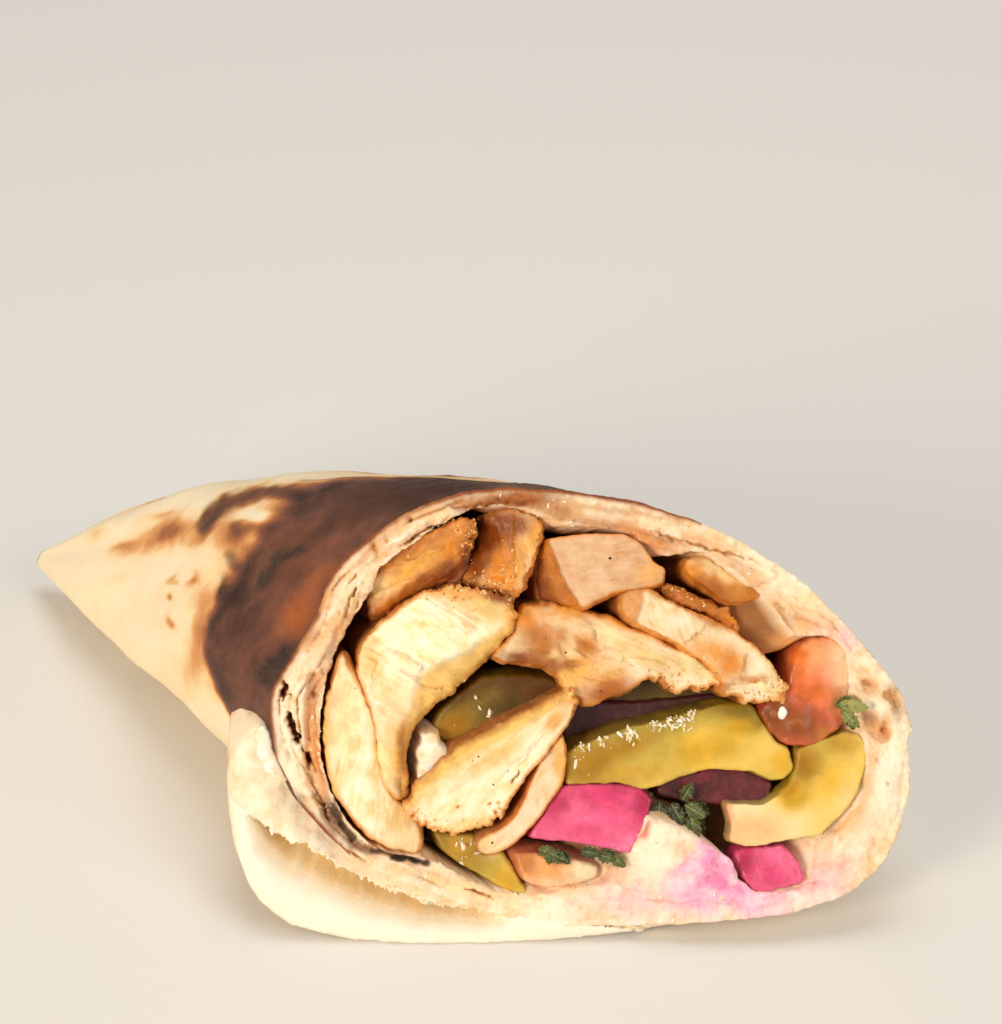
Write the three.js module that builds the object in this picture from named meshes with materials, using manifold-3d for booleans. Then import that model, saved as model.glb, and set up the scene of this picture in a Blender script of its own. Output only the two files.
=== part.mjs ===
// Half of a rolled flatbread wrap filled with grilled chicken, pickled cucumber, pickled
// turnip, tomato, herbs and garlic sauce. It lies on its side, with the slanting cut face
// to the front and the folded tip behind on the left. Millimetres, +Z up.
//
// Every piece is drawn on the cut face, with u to the right and v up the face from the
// table, and is then carried into the wrap. On the way in the sections shrink and move
// towards the tip, all by one rule, so pieces that are clear of each other on the face
// stay clear of each other all the way in.
import * as THREE from 'three';
import { mergeVertices } from 'three/addons/utils/BufferGeometryUtils.js';
import Module from 'manifold-3d';

const wasm = await Module();
wasm.setup();

// ---- driving dimensions ----
const faceLean = 35; // degrees that the cut face leans back from upright
const rollMiddle = { u: 0, v: 36.5 }; // what the sections shrink towards
const rollDepth = 77; // from the cut face to the tip, square to the face
const cavityDepth = 60; // how far in the filling's hollow reaches
const fillingDepth = 46; // how far in most of the filling runs
const edgeWave = 0.8; // how far the bread's cut edge waves in and out
const flapDepth = 21; // how far in the loose end of the bread leaves the roll
const pocketDepth = 16; // how deep the gap under the loose end is
const crumple = 0.010; // share by which the outside of the roll is wrinkled
const leafThickness = 0.5;

// Sections on the way in: depth from the face, move to the left, climb up the face, and
// scale sideways, above the middle and below it.
const sections = [
  { depth: 0, left: 0, climb: 0, wide: 1, above: 1, below: 1 },
  { depth: 26, left: 22, climb: 12.2, wide: 0.9, above: 0.745, below: 0.97 },
  { depth: 47, left: 45, climb: 17.2, wide: 0.68, above: 0.6, below: 0.68 },
  { depth: 63, left: 71, climb: 21.6, wide: 0.38, above: 0.34, below: 0.4 },
  { depth: rollDepth, left: 95.5, climb: 24.3, wide: 0.05, above: 0.06, below: 0.06 },
];

// ---- outlines on the cut face, as [u, v] ----
const rollOutside = [
  [-50.4, 37.8], [-46.4, 51.2], [-34.4, 65.3], [-16, 73.6], [8, 71], [33.9, 58.6],
  [47.7, 42.1], [51.2, 27.2], [41.6, 8.8], [17.6, 3.5], [-8, 3.5], [-29.6, 9.1],
  [-44.8, 21.8],
];
const rollInside = [
  [-44.3, 34.1], [-40.8, 48.5], [-33.9, 61.8], [-19.5, 70.1], [-2.4, 68.8], [17.6, 64.5],
  [35.2, 52.8], [41.8, 45.4], [44.9, 36.5], [44.3, 20.5], [36, 10.9], [24.8, 7.8], [18.9, 11.8],
  [13.8, 18.2], [9.9, 18.6], [6.4, 10.6], [-4.8, 7.8], [-18.4, 9.3], [-32.8, 14.1],
  [-42.9, 25.3],
];
const flapOutside = [
  [-52, 35.2], [-56.4, 29.3], [-56.2, 14.4], [-47.2, 3], [-27.2, -0.6], [-4.8, 0.6],
  [8, 3.2], [1.6, 6.9], [-19.2, 8.5], [-37.6, 17.3], [-46.4, 31.7],
];
const flapRoot = { u: -22, v: 30 }; // the loose end closes on the roll towards this point
const pocketOutline = [
  [-55.5, 17.6], [-48, 19.2], [-39.2, 12.5], [-27.2, 7.4], [-5.4, 3], [-27.2, 3.5],
  [-47, 8.8],
];

// ---- finishes ----
const finish = (color, roughness) =>
  new THREE.MeshStandardMaterial({ color, roughness, metalness: 0 });
const bread = finish(0xe9cfa0, 0.8);
const chicken = finish(0xe8b27a, 0.55);
const pickle = finish(0xb9a23c, 0.3);
const turnip = finish(0xd43a78, 0.3);
const tomato = finish(0xd9694a, 0.3);
const sauce = finish(0xf4efe4, 0.35);
const herb = finish(0x3f5a24, 0.6);

// ---- carrying a point of the cut face into the wrap ----
const lean = THREE.MathUtils.degToRad(faceLean);
const right = new THREE.Vector3(1, 0, 0);
const upFace = new THREE.Vector3(0, Math.sin(lean), Math.cos(lean));
const inward = new THREE.Vector3(0, Math.cos(lean), -Math.sin(lean));
const sectionKeys = ['left', 'climb', 'wide', 'above', 'below'];
const sectionAt = new THREE.CubicInterpolant(
  sections.map((s) => s.depth),
  sections.flatMap((s) => sectionKeys.map((key) => s[key])),
  sectionKeys.length,
  new Float64Array(sectionKeys.length),
);

function carry(u, v, depth) {
  const [left, climb, wide, above, below] = sectionAt.evaluate(depth);
  const across = (u - rollMiddle.u) * wide - left + rollMiddle.u;
  const fromMiddle = v - rollMiddle.v;
  const up = fromMiddle * (fromMiddle > 0 ? above : below) + climb + rollMiddle.v;
  return new THREE.Vector3()
    .addScaledVector(right, across)
    .addScaledVector(upFace, up)
    .addScaledVector(inward, depth);
}

// Moves every vertex of a geometry and merges the ones that meet. move gets a Vector3.
function reshape(geometry, move) {
  const places = geometry.attributes.position;
  const p = new THREE.Vector3();
  for (let i = 0; i < places.count; i++) {
    const q = move(p.fromBufferAttribute(places, i));
    places.setXYZ(i, q.x, q.y, q.z);
  }
  geometry.deleteAttribute('normal');
  geometry.deleteAttribute('uv');
  return mergeVertices(geometry, 1e-4);
}

// A smooth closed outline through a few points.
function loop(points, count) {
  const corners = points.map(([u, v]) => new THREE.Vector3(u, v, 0));
  const curve = new THREE.CatmullRomCurve3(corners, true, 'centripetal');
  return curve.getSpacedPoints(count).slice(0, -1).map((p) => new THREE.Vector2(p.x, p.y));
}

// The outline of a strip or chunk: a spine with a width at each of its points, and
// rounded ends.
function strand(spine, widths, steps = 6) {
  const path = new THREE.SplineCurve(spine.map(([u, v]) => new THREE.Vector2(u, v)));
  const width = new THREE.SplineCurve(widths.map((w, i) => new THREE.Vector2(i, w)));
  const sides = [[], []];
  for (let k = 0; k <= steps; k++) {
    const along = 0.5 - 0.5 * Math.cos((Math.PI * k) / steps);
    const fromEnd = 0.6 + 0.4 * Math.sqrt(1 - (2 * along - 1) ** 4);
    const half = 0.5 * fromEnd * width.getPoint(along).y;
    const middle = path.getPoint(along);
    const way = path.getTangent(along);
    sides[0].push(new THREE.Vector2(middle.x - way.y * half, middle.y + way.x * half));
    sides[1].unshift(new THREE.Vector2(middle.x + way.y * half, middle.y - way.x * half));
  }
  return sides.flat();
}

// The outline of a cut block: straight sides with the corners taken off.
function block(corners, cut = 0.9) {
  const points = corners.map(([u, v]) => new THREE.Vector2(u, v));
  return points.flatMap((corner, i) => {
    const before = points.at(i - 1).clone().sub(corner).setLength(cut).add(corner);
    const after = points[(i + 1) % points.length].clone().sub(corner).setLength(cut);
    return [before, after.add(corner)];
  });
}

// An outline made solid from the depth front to the depth back, with its rims taken off,
// and carried into the wrap. slope tips the front, in depth for each mm of u and of v.
function solid(outline, { front = 0, back = fillingDepth, round = 0.9, slope = [0, 0], steps = 3 }) {
  const length = back - front;
  const inset = Math.min(0.4, round);
  const geometry = new THREE.ExtrudeGeometry(new THREE.Shape(outline), {
    depth: length - 2 * round,
    steps,
    bevelThickness: round,
    bevelSize: inset,
    bevelOffset: -inset,
    bevelSegments: 1,
  });
  const middle = outline.reduce((sum, p) => sum.add(p), new THREE.Vector2());
  middle.divideScalar(outline.length);
  return reshape(geometry, ({ x, y, z }) => {
    const in01 = (length - round - z) / length;
    const tip = (slope[0] * (x - middle.x) + slope[1] * (y - middle.y)) * (1 - in01);
    return carry(x, y, front + in01 * length + tip);
  });
}

// A leaf: a thin wavy sheet near the plane of the cut, its edge lobed.
function leaf({ at: [u, v], long, wide, turn, front, wave = 0.5 }) {
  const geometry = new THREE.BoxGeometry(1, 1, 1, 12, 4, 1);
  const angle = THREE.MathUtils.degToRad(turn);
  return reshape(geometry, ({ x, y, z }) => {
    const body = Math.cos(Math.PI * x * 0.9) ** 0.7;
    const lobed = 1 + 0.25 * Math.cos(4 * Math.PI * x);
    const along = x * long;
    const across = y * wide * body * lobed;
    const depth = front - z * leafThickness + wave * Math.sin(7 * x + 3 * y);
    return carry(
      u + along * Math.cos(angle) - across * Math.sin(angle),
      v + along * Math.sin(angle) + across * Math.cos(angle),
      depth,
    );
  });
}

// ---- joining and cutting ----
function toManifold(geometry) {
  const mesh = new wasm.Mesh({
    numProp: 3,
    vertProperties: new Float32Array(geometry.attributes.position.array),
    triVerts: new Uint32Array(geometry.index.array),
  });
  return new wasm.Manifold(mesh);
}

function toGeometry(manifold) {
  const mesh = manifold.getMesh();
  return new THREE.BufferGeometry()
    .setAttribute('position', new THREE.BufferAttribute(mesh.vertProperties, 3))
    .setIndex(new THREE.BufferAttribute(mesh.triVerts, 1));
}

// ---- the flatbread: a roll with a loose end that hangs open under its left side ----
function plain(outline, front, back, steps, move) {
  const geometry = new THREE.ExtrudeGeometry(new THREE.Shape(outline), {
    depth: back - front,
    steps,
    bevelEnabled: false,
  });
  return toManifold(reshape(geometry, ({ x, y, z }) => move(x, y, back - z)));
}

const angleOf = (u, v) => Math.atan2(v - rollMiddle.v, u - rollMiddle.u);

// The cut edge waves in and out, which dies away a little way in.
function waved(u, v, depth) {
  const a = angleOf(u, v);
  const wave = edgeWave * (0.6 * Math.sin(3 * a + 1) + 0.4 * Math.sin(8 * a));
  return depth + wave * Math.max(0, 1 - depth / 12);
}

function rollSurface(u, v, depth) {
  const a = angleOf(u, v);
  const deep = Math.min(1, depth / 20);
  const wrinkle = Math.sin(4 * a + depth * 0.11) + 0.7 * Math.sin(9 * a - depth * 0.19);
  const scale = 1 + crumple * deep * wrinkle;
  return carry(
    rollMiddle.u + (u - rollMiddle.u) * scale,
    rollMiddle.v + (v - rollMiddle.v) * scale,
    waved(u, v, depth),
  );
}

// The loose end and its pocket shrink towards their root on the way in.
const closing = (share, depthOfAll) => (u, v, depth) => {
  const scale = 1 - share * Math.max(0, depth / depthOfAll) ** 1.2;
  return carry(
    flapRoot.u + (u - flapRoot.u) * scale,
    flapRoot.v + (v - flapRoot.v) * scale,
    waved(u, v, depth),
  );
};

function flatbread() {
  const roll = plain(loop(rollOutside, 60), 0, rollDepth, 12, rollSurface);
  const flap = plain(loop(flapOutside, 40), 0, flapDepth, 4, closing(0.34, flapDepth));
  const pocket = plain(loop(pocketOutline, 28), -2, pocketDepth, 3, closing(0.2, pocketDepth));
  const hollow = plain(loop(rollInside, 56), -3, cavityDepth, 5, carry);
  const table = toManifold(
    reshape(new THREE.BoxGeometry(400, 400, 40), (p) => p.setZ(p.z - 20)),
  );
  return toGeometry(
    roll.add(flap).subtract(pocket).subtract(hollow).subtract(table),
  );
}

// ---- the filling, from the top of the face down ----
const filling = {
  chicken_block: [chicken, strand([[-8, 60.5], [1.6, 61.2], [11.6, 60.3]], [8.4, 10.6, 5]),
    { front: -1, slope: [0.1, -0.05] }],
  chicken_crusted: [chicken, strand([[-12.8, 68.8], [-14.2, 62.8], [-15.8, 57]], [5.6, 9.6, 6.6]),
    { front: 1, slope: [-0.15, 0] }],
  chicken_tucked: [chicken, strand([[-34.4, 57.4], [-26.4, 61.6], [-19, 66.6]], [2.4, 4.2, 2.8]),
    { front: 1.5 }],
  chicken_deep: [chicken, strand([[-20.8, 62.4], [-22, 60.4], [-24.4, 58.8]], [1.6, 2.4, 1.6]),
    { front: 5, round: 0.5 }],
  chicken_curl: [chicken, strand([[-12.8, 52.4], [-26.4, 47.7], [-31, 36.5], [-31, 24.1]],
    [5.6, 13.6, 9.2, 2.8]), { front: -0.5, slope: [-0.05, 0.03] }],
  chicken_long: [chicken, strand([[-39.4, 46.2], [-39.7, 36.5], [-38.1, 26.9], [-33.3, 19.5],
    [-27.3, 15.6]], [2, 6.6, 7.6, 7.4, 4.2]), { slope: [0.08, 0] }],
  chicken_arch: [chicken, strand([[-11.4, 49], [-6.1, 50.2], [1.3, 46.9], [9.6, 45.4],
    [18, 41.9]], [2.6, 7.6, 12, 7.2, 2]), { front: 0.5, slope: [0, 0.1] }],
  chicken_outer: [chicken, strand([[6.3, 54.6], [12, 51.9], [18.4, 48.5], [24.8, 44.3],
    [29.8, 40.7]], [2.8, 5.4, 6.6, 7, 3]), { front: -0.8, slope: [0.04, -0.06] }],
  chicken_flake: [chicken, strand([[13.4, 56.2], [18.2, 54.9], [23.8, 51]], [2, 2.6, 2]),
    { front: 3, round: 0.5 }],
  chicken_top: [chicken, strand([[15.4, 60.7], [20.8, 59.2], [27.6, 56.4]], [2.6, 3.8, 2]),
    { front: 1.5, round: 0.6 }],
  chicken_lower: [chicken, strand([[-28, 23.3], [-22.4, 24], [-14.4, 28.8], [-8, 34.9],
    [-3.2, 38.8]], [2.2, 8, 9.4, 5.4, 2]), { front: -2.5, slope: [0.03, -0.08] }],
  chicken_thin: [chicken, strand([[-17.2, 16.3], [-12, 20], [-7.2, 25.6], [-4.6, 31.4]],
    [2, 3.4, 3.6, 2]), { front: -1, round: 0.7 }],

  pickle_back: [pickle, strand([[-22, 34.6], [-19.4, 37.6], [-12.6, 39.8], [-5, 41.4]],
    [2.4, 5.2, 6, 2.2]), { front: 5, round: 0.5 }],
  pickle_slice: [pickle, strand([[-2.8, 28.2], [4.8, 30.4], [14.4, 33], [24, 34.1],
    [31.4, 30]], [3.8, 7, 9, 9.2, 3.6]), { front: 1, slope: [0.02, 0.12], round: 0.5 }],
  pickle_hook: [pickle, strand([[39.6, 30.4], [39.8, 26.1], [36.2, 21.7], [29.6, 20.1],
    [22.8, 19.9]], [6.6, 6.8, 6, 5.8, 5.6]), { front: 0.3, round: 0.5 }],
  pickle_wedge: [pickle, strand([[-23.8, 16.1], [-17.7, 12.6], [-11, 9.9]], [3.8, 3.6, 2]),
    { front: 1.5, round: 0.5 }],

  turnip_block: [turnip, block([[-4.3, 25.2], [9.6, 25], [5.4, 15.5], [-8.3, 17.6]]),
    { front: -0.5, slope: [-0.06, 0.05], round: 0.4 }],
  turnip_low: [turnip, block([[23.5, 15.5], [31.2, 15.8], [34.2, 12.8], [31.2, 10.6],
    [25, 10.2]]), { front: 0.5, round: 0.4 }],
  turnip_shade: [turnip, block([[13.1, 25.2], [16, 27.2], [24, 28], [28.9, 26], [28.6, 24.1],
    [17.6, 24.1]], 0.5), { front: 7, round: 0.3 }],
  turnip_deep: [turnip, block([[-1.6, 34.2], [0, 37.6], [5.1, 39.4], [16, 40.6], [18.6, 39.9],
    [11.2, 37.8], [2.4, 34.8]]), { front: 8, round: 0.3 }],

  tomato_side: [tomato, loop([[33.8, 47.4], [36.8, 48.4], [39.6, 45.4], [40.2, 41], [38.4, 34.8],
    [34, 34.4], [30.2, 37.6], [32.4, 41]], 18), { front: 1, slope: [0.1, 0] }],
  tomato_low: [tomato, block([[-9.6, 13], [-4.8, 12.7], [1, 11.8], [1.9, 10.6], [-2.4, 9.5],
    [-7.6, 9.4]], 0.6), { front: 0.8, round: 0.4 }],

  garlic_sauce: [sauce, strand([[-26.8, 27.6], [-25.4, 30.4], [-23.6, 32.8]], [1.6, 3, 2], 5),
    { front: 0.9, back: 13, round: 0.5, steps: 1 }],
};

const leaves = {
  herb_middle: { at: [15, 21.9], long: 8.6, wide: 3.9, turn: 12, front: 3 },
  herb_inner: { at: [17.6, 21.4], long: 6, wide: 3.2, turn: -40, front: 6.5 },
  herb_low: { at: [-2.2, 14.7], long: 12, wide: 1.9, turn: -7, front: 0.6, wave: 0.3 },
  herb_side: { at: [40.8, 36.6], long: 6.5, wide: 3, turn: 35, front: -2.2, wave: 0.3 },
};

// ---- the wrap ----
const wrap = new THREE.Group();
const add = (name, geometry, material) => {
  const mesh = new THREE.Mesh(geometry, material);
  mesh.name = name;
  wrap.add(mesh);
};
add('flatbread', flatbread(), bread);
for (const [name, [material, outline, depths]] of Object.entries(filling)) {
  add(name, solid(outline, depths), material);
}
for (const [name, sizes] of Object.entries(leaves)) add(name, leaf(sizes), herb);

// The origin is the middle of the footprint, on the table.
const box = new THREE.Box3().setFromObject(wrap);
const middle = box.getCenter(new THREE.Vector3());
for (const mesh of wrap.children) mesh.geometry.translate(-middle.x, -middle.y, -box.min.z);

export default wrap;
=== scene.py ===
# Half of a toasted flatbread wrap, filled with grilled chicken, pickles, tomato and herbs.
# It lies on its side with the slanting cut to the front and its folded tip behind on the left.
import math
from functools import partial

import bpy
import numpy as np
from mathutils import Matrix, Vector
from mathutils.geometry import delaunay_2d_cdt


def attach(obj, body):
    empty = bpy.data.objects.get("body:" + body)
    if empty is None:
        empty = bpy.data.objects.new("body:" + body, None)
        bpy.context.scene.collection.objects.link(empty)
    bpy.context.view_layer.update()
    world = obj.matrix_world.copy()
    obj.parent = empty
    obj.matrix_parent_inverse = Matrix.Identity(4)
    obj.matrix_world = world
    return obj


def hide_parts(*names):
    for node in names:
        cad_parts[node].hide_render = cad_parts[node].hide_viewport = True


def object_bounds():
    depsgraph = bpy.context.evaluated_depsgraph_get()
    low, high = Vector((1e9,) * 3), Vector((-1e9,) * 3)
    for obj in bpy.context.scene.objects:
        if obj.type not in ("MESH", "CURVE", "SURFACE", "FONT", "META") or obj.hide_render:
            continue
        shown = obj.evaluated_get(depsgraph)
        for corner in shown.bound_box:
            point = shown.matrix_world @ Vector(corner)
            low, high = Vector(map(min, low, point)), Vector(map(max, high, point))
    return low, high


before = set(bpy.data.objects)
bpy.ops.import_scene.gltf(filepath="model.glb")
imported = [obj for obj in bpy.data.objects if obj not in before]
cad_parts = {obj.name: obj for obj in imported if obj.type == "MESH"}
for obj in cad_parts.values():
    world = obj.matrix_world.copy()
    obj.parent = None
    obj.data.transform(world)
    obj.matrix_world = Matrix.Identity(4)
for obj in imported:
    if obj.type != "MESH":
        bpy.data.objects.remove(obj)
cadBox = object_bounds()
mm = 0.001

# ---- the cut face, and how the wrap runs back from it (mm, degrees) ----
# A place on the face is u to the right of its middle and v up it from the table.
# A section is: depth, shift to the left, climb, scale across, above and below the middle.
wrap = {
    "lean": 35, "reach": 51.3, "middle": 36.5, "depth": 77,
    "sections": [
        (0, 0, 0, 1, 1, 1),
        (26, 22, 12.2, 0.9, 0.745, 0.97),
        (47, 45, 17.2, 0.68, 0.6, 0.68),
        (63, 71, 21.6, 0.38, 0.34, 0.4),
        (77, 95.5, 24.3, 0.05, 0.06, 0.06),
    ],
}
lean = math.radians(wrap["lean"])
right = np.array([1.0, 0.0, 0.0])
upFace = np.array([0.0, math.sin(lean), math.cos(lean)])
inward = np.array([0.0, math.cos(lean), -math.sin(lean)])
faceFoot = np.array([cadBox[1].x / mm - wrap["reach"], cadBox[0].y / mm - 0.17, 0.0])


# ---- camera, lights and floor ----
def addCamera(view):
    aim = faceFoot + right * view["aim"][0] + upFace * view["aim"][1]
    place = (aim - inward * view["distance"]) * mm
    data = bpy.data.cameras.new("camera")
    data.lens = view["lens"]
    data.clip_start = 0.01
    camera = bpy.data.objects.new("camera", data)
    bpy.context.collection.objects.link(camera)
    turned = Matrix((right, upFace, -inward)).transposed().to_4x4()
    camera.matrix_world = Matrix.Translation(place) @ turned
    bpy.context.scene.camera = camera


def srgb(hexColour, alpha=1.0):
    parts = [int(hexColour[i : i + 2], 16) / 255 for i in (1, 3, 5)]
    return [c / 12.92 if c <= 0.04045 else ((c + 0.055) / 1.055) ** 2.4 for c in parts] + [alpha]


def addLight(name, place, size, watts, colour):
    data = bpy.data.lights.new(name, "AREA")
    data.shape = "DISK"
    data.size = size
    data.energy = watts
    data.color = srgb(colour)[:3]
    light = bpy.data.objects.new(name, data)
    bpy.context.collection.objects.link(light)
    light.location = place
    light.rotation_euler = (Vector((0, 0, 0.02)) - Vector(place)).to_track_quat("-Z", "Y").to_euler()


# short names for the nodes used most: Blender's kind, settings, inputs in order, and the output used
shortKinds = {
    "mark": ("ShaderNodeAttribute", {}, (), "Fac"),
    "mix": ("ShaderNodeMix", {"data_type": "RGBA"}, (0, 6, 7), 2),
    "range": ("ShaderNodeMapRange", {"interpolation_type": "SMOOTHSTEP"}, (0, 1, 2, 3, 4), 0),
    "ramp": ("ShaderNodeValToRGB", {}, (0,), 0),
    "noise": ("ShaderNodeTexNoise", {}, ("Vector", "Scale", "Detail", "Roughness"), 0),
    "cells": ("ShaderNodeTexVoronoi", {}, ("Vector", "Scale"), 0),
    "vector": ("ShaderNodeVectorMath", {}, (0, 1), 0),
    "scaled": ("ShaderNodeVectorMath", {"operation": "SCALE"}, (0, "Scale"), 0),
    "xyz": ("ShaderNodeCombineXYZ", {}, (0, 1, 2), 0),
    "stored": ("GeometryNodeInputNamedAttribute", {}, ("Name",), "Attribute"),
    "store": ("GeometryNodeStoreNamedAttribute", {"data_type": "FLOAT"}, ("Geometry", "Name", "Value"), 0),
    "position": ("GeometryNodeInputPosition", {}, (), 0),
    "normal": ("GeometryNodeInputNormal", {}, (), 0),
    "moved": ("GeometryNodeSetPosition", {}, ("Geometry", "Offset"), 0),
    "real": ("GeometryNodeRealizeInstances", {}, (0,), 0),
    "painted": ("GeometryNodeSetMaterial", {}, ("Geometry", "Material"), 0),
    "random": ("FunctionNodeRandomValue", {"data_type": "FLOAT"}, ("Seed",), 1),
}


def feed(tree, node, values):
    # sets a node's inputs, or links those whose value comes from another node
    for key, value in values.items():
        if isinstance(value, bpy.types.NodeSocket):
            tree.links.new(value, node.inputs[key])
        else:
            node.inputs[key].default_value = value


def addNode(tree, kind, *values, inputs=None, stops=(), **settings):
    # adds a node with its settings and links; a short kind, or the name of a sum, gives its output
    arithmetic = ("ShaderNodeMath", {"operation": kind}, (0, 1, 2), 0)
    name, fixed, order, output = (kind, {}, (), None) if "Node" in kind else shortKinds.get(kind, arithmetic)
    node = tree.nodes.new(name)
    for key, value in {**fixed, **settings}.items():
        setattr(node, key, value)
    feed(tree, node, {**dict(zip(order, values)), **(inputs or {})})
    for index, (place, colour) in enumerate(stops):
        elements = node.color_ramp.elements
        element = elements[index] if index < 2 else elements.new(place)
        element.position = place
        element.color = srgb(colour)
    return node if output is None else node.outputs[output]


def addFloor(half, colour):
    mesh = bpy.data.meshes.new("floor")
    corners = [(-half, -half, 0), (half, -half, 0), (half, half, 0), (-half, half, 0)]
    mesh.from_pydata(corners, [], [(0, 1, 2, 3)])
    floor = bpy.data.objects.new("floor", mesh)
    bpy.context.collection.objects.link(floor)
    paint = bpy.data.materials.new("matte paper floor")
    paint.use_nodes = True
    paint.node_tree.nodes["Principled BSDF"].inputs["Base Color"].default_value = srgb(colour)
    paint.node_tree.nodes["Principled BSDF"].inputs["Roughness"].default_value = 0.9
    mesh.materials.append(paint)


def addSurroundings():
    world = bpy.data.worlds.new("studio")
    world.use_nodes = True
    world.node_tree.nodes["Background"].inputs["Color"].default_value = srgb("#f4f1ec")
    world.node_tree.nodes["Background"].inputs["Strength"].default_value = 0.4
    bpy.context.scene.world = world
    bpy.context.scene.view_settings.view_transform = "Standard"
    addLight("key", (-0.55, -0.62, 0.36), 0.35, 5.0, "#fff0da")
    addLight("fill", (0.6, -0.5, 0.5), 0.6, 2.6, "#fff4e6")
    addLight("top", (0.05, 0.25, 0.8), 0.5, 2.4, "#ffffff")
    addFloor(3.0, "#e4e1dc")


view = {"aim": (-14.24, 69.76), "distance": 600, "lens": 131.8}
addCamera(view)
addSurroundings()
print("stage: camera, lights and floor")


# ---- carrying places on the cut face into the wrap ----
def sectionTable():
    rows = np.array(wrap["sections"], float)
    x = rows[:, 0]
    slopes = np.gradient(rows[:, 1:], x, axis=0)
    inner = (rows[2:, 1:] - rows[:-2, 1:]) / (x[2:] - x[:-2])[:, None]
    slopes[1:-1] = inner
    at = np.arange(-8, wrap["depth"] + 0.01, 0.25)
    i = np.clip(np.searchsorted(x, at) - 1, 0, len(x) - 2)
    h = (x[i + 1] - x[i])[:, None]
    s = ((at - x[i]) / h[:, 0])[:, None]
    a, b = rows[i, 1:], rows[i + 1, 1:]
    table = (
        (2 * s**3 - 3 * s**2 + 1) * a + (s**3 - 2 * s**2 + s) * h * slopes[i]
        + (3 * s**2 - 2 * s**3) * b + (s**3 - s**2) * h * slopes[i + 1]
    )
    return at, table


sectionDepths, sectionValues = sectionTable()


def sectionAt(depth):
    return [np.interp(depth, sectionDepths, sectionValues[:, k]) for k in range(5)]


def carry(uv, depth, relief=0.0):
    left, climb, wide, above, below = sectionAt(depth)
    fromMiddle = uv[:, 1] - wrap["middle"]
    across = uv[:, 0] * wide - left
    up = fromMiddle * np.where(fromMiddle > 0, above, below) + climb + wrap["middle"]
    depth = depth + relief
    return (
        faceFoot + across[:, None] * right + up[:, None] * upFace
        + np.broadcast_to(depth, across.shape)[:, None] * inward
    )


def uncarry(uv, depth):
    # the place on the face that is carried to uv at this depth
    left, climb, wide, above, below = sectionAt(depth)
    up = uv[:, 1] - climb - wrap["middle"]
    return np.stack([(uv[:, 0] + left) / wide, up / np.where(up > 0, above, below) + wrap["middle"]], 1)


def seenPlace(points):
    # where places in the wrap show on the cut plane, looking straight at it
    away = points - faceFoot
    share = view["distance"] / (view["distance"] + away @ inward)
    return view["aim"] + (np.stack([away @ right, away @ upFace], 1) - view["aim"]) * share[:, None]


# ---- small tools for outlines, noise and meshes ----
handful = 4000  # points compared at a time, to spare memory


def noise(points, size, seed=0, octaves=1):
    # smooth random values, mostly -1 to 1, that change over size mm
    points = np.asarray(points, float)
    if points.shape[1] == 2:
        points = np.column_stack([points, np.zeros(len(points))])
    total = np.zeros(len(points))
    for octave in range(octaves):
        p = points / size * 2**octave + 11.3 * seed + 5.7 * octave
        base = np.floor(p).astype(np.int64)
        f = p - base
        fade = f**3 * (f * (f * 6 - 15) + 10)
        for corner in range(8):
            step = np.array([corner & 1, corner >> 1 & 1, corner >> 2 & 1])
            cell = base + step
            code = cell[:, 0] * 374761393 + cell[:, 1] * 668265263 + cell[:, 2] * 1274126177 + seed * 97
            code = (code ^ (code >> 13)) * 1103515245
            code = (code ^ (code >> 16)) & 0x3FFFFFFF
            slope = np.stack([code & 1023, code >> 10 & 1023, code >> 20 & 1023], 1) / 511.5 - 1
            near = np.where(step, fade, 1 - fade).prod(1)
            total += near * ((f - step) * slope).sum(1) * 1.7 / 2**octave
    return total


def ramp(x, low, high):
    t = np.clip((x - low) / (high - low), 0, 1)
    return t * t * (3 - 2 * t)


def drift(points, size, seed, octaves):
    # random shifts in two directions, which bend whatever is looked up with them
    return np.stack([noise(points, size, seed, octaves), noise(points, size, seed + 1, octaves)], 1)


def turnedFrom(points, place, turn):
    # how far points lie along and across a line through the place, turned by some degrees
    way = np.array([math.cos(math.radians(turn)), math.sin(math.radians(turn))])
    return (points - place) @ way, (points - place) @ np.array([-way[1], way[0]])


def washesAt(places, washes, tones, seed):
    # patches of colour with soft torn edges laid one over another: the colour, and how much of it shows
    # each patch is its place, its half length, half width and turn, its tone and its strength
    bent = places + 0.5 * drift(places, 2.2, seed + 11, 3)
    colour, cover = np.zeros((len(places), 3)), np.zeros(len(places))
    for place, (long, wide, turn), tone, strength in washes:
        x, y = turnedFrom(bent, place, turn)
        share = strength * np.exp(-(((x / long) ** 2 + (y / wide) ** 2) ** 1.4))
        total = share + cover * (1 - share)
        under = (cover * (1 - share))[:, None] * colour
        colour = (under + np.outer(share, srgb(tones[tone])[:3])) / np.maximum(total, 1e-6)[:, None]
        cover = total
    return colour, cover


def blobsAt(uv, blobs):
    # soft round spots added up, each its place, radius and strength
    total = np.zeros(len(uv))
    for place, radius, strength in blobs:
        total += strength * np.exp(-(((uv - place) ** 2).sum(1)) / radius**2)
    return total


def lineGap(points, a, b):
    # distance to the line from a to b, and how far along it the nearest point is
    a, way = np.array(a), np.subtract(b, a)
    along = np.clip(((points - a) @ way) / (way @ way), 0, 1)
    return np.linalg.norm(points - a - along[:, None] * way, axis=1), along


def wayGap(points, way):
    # distance to the nearest of the lines from each place of the way to the next
    return np.min([lineGap(points, a, b)[0] for a, b in zip(way[:-1], way[1:])], axis=0)


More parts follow.
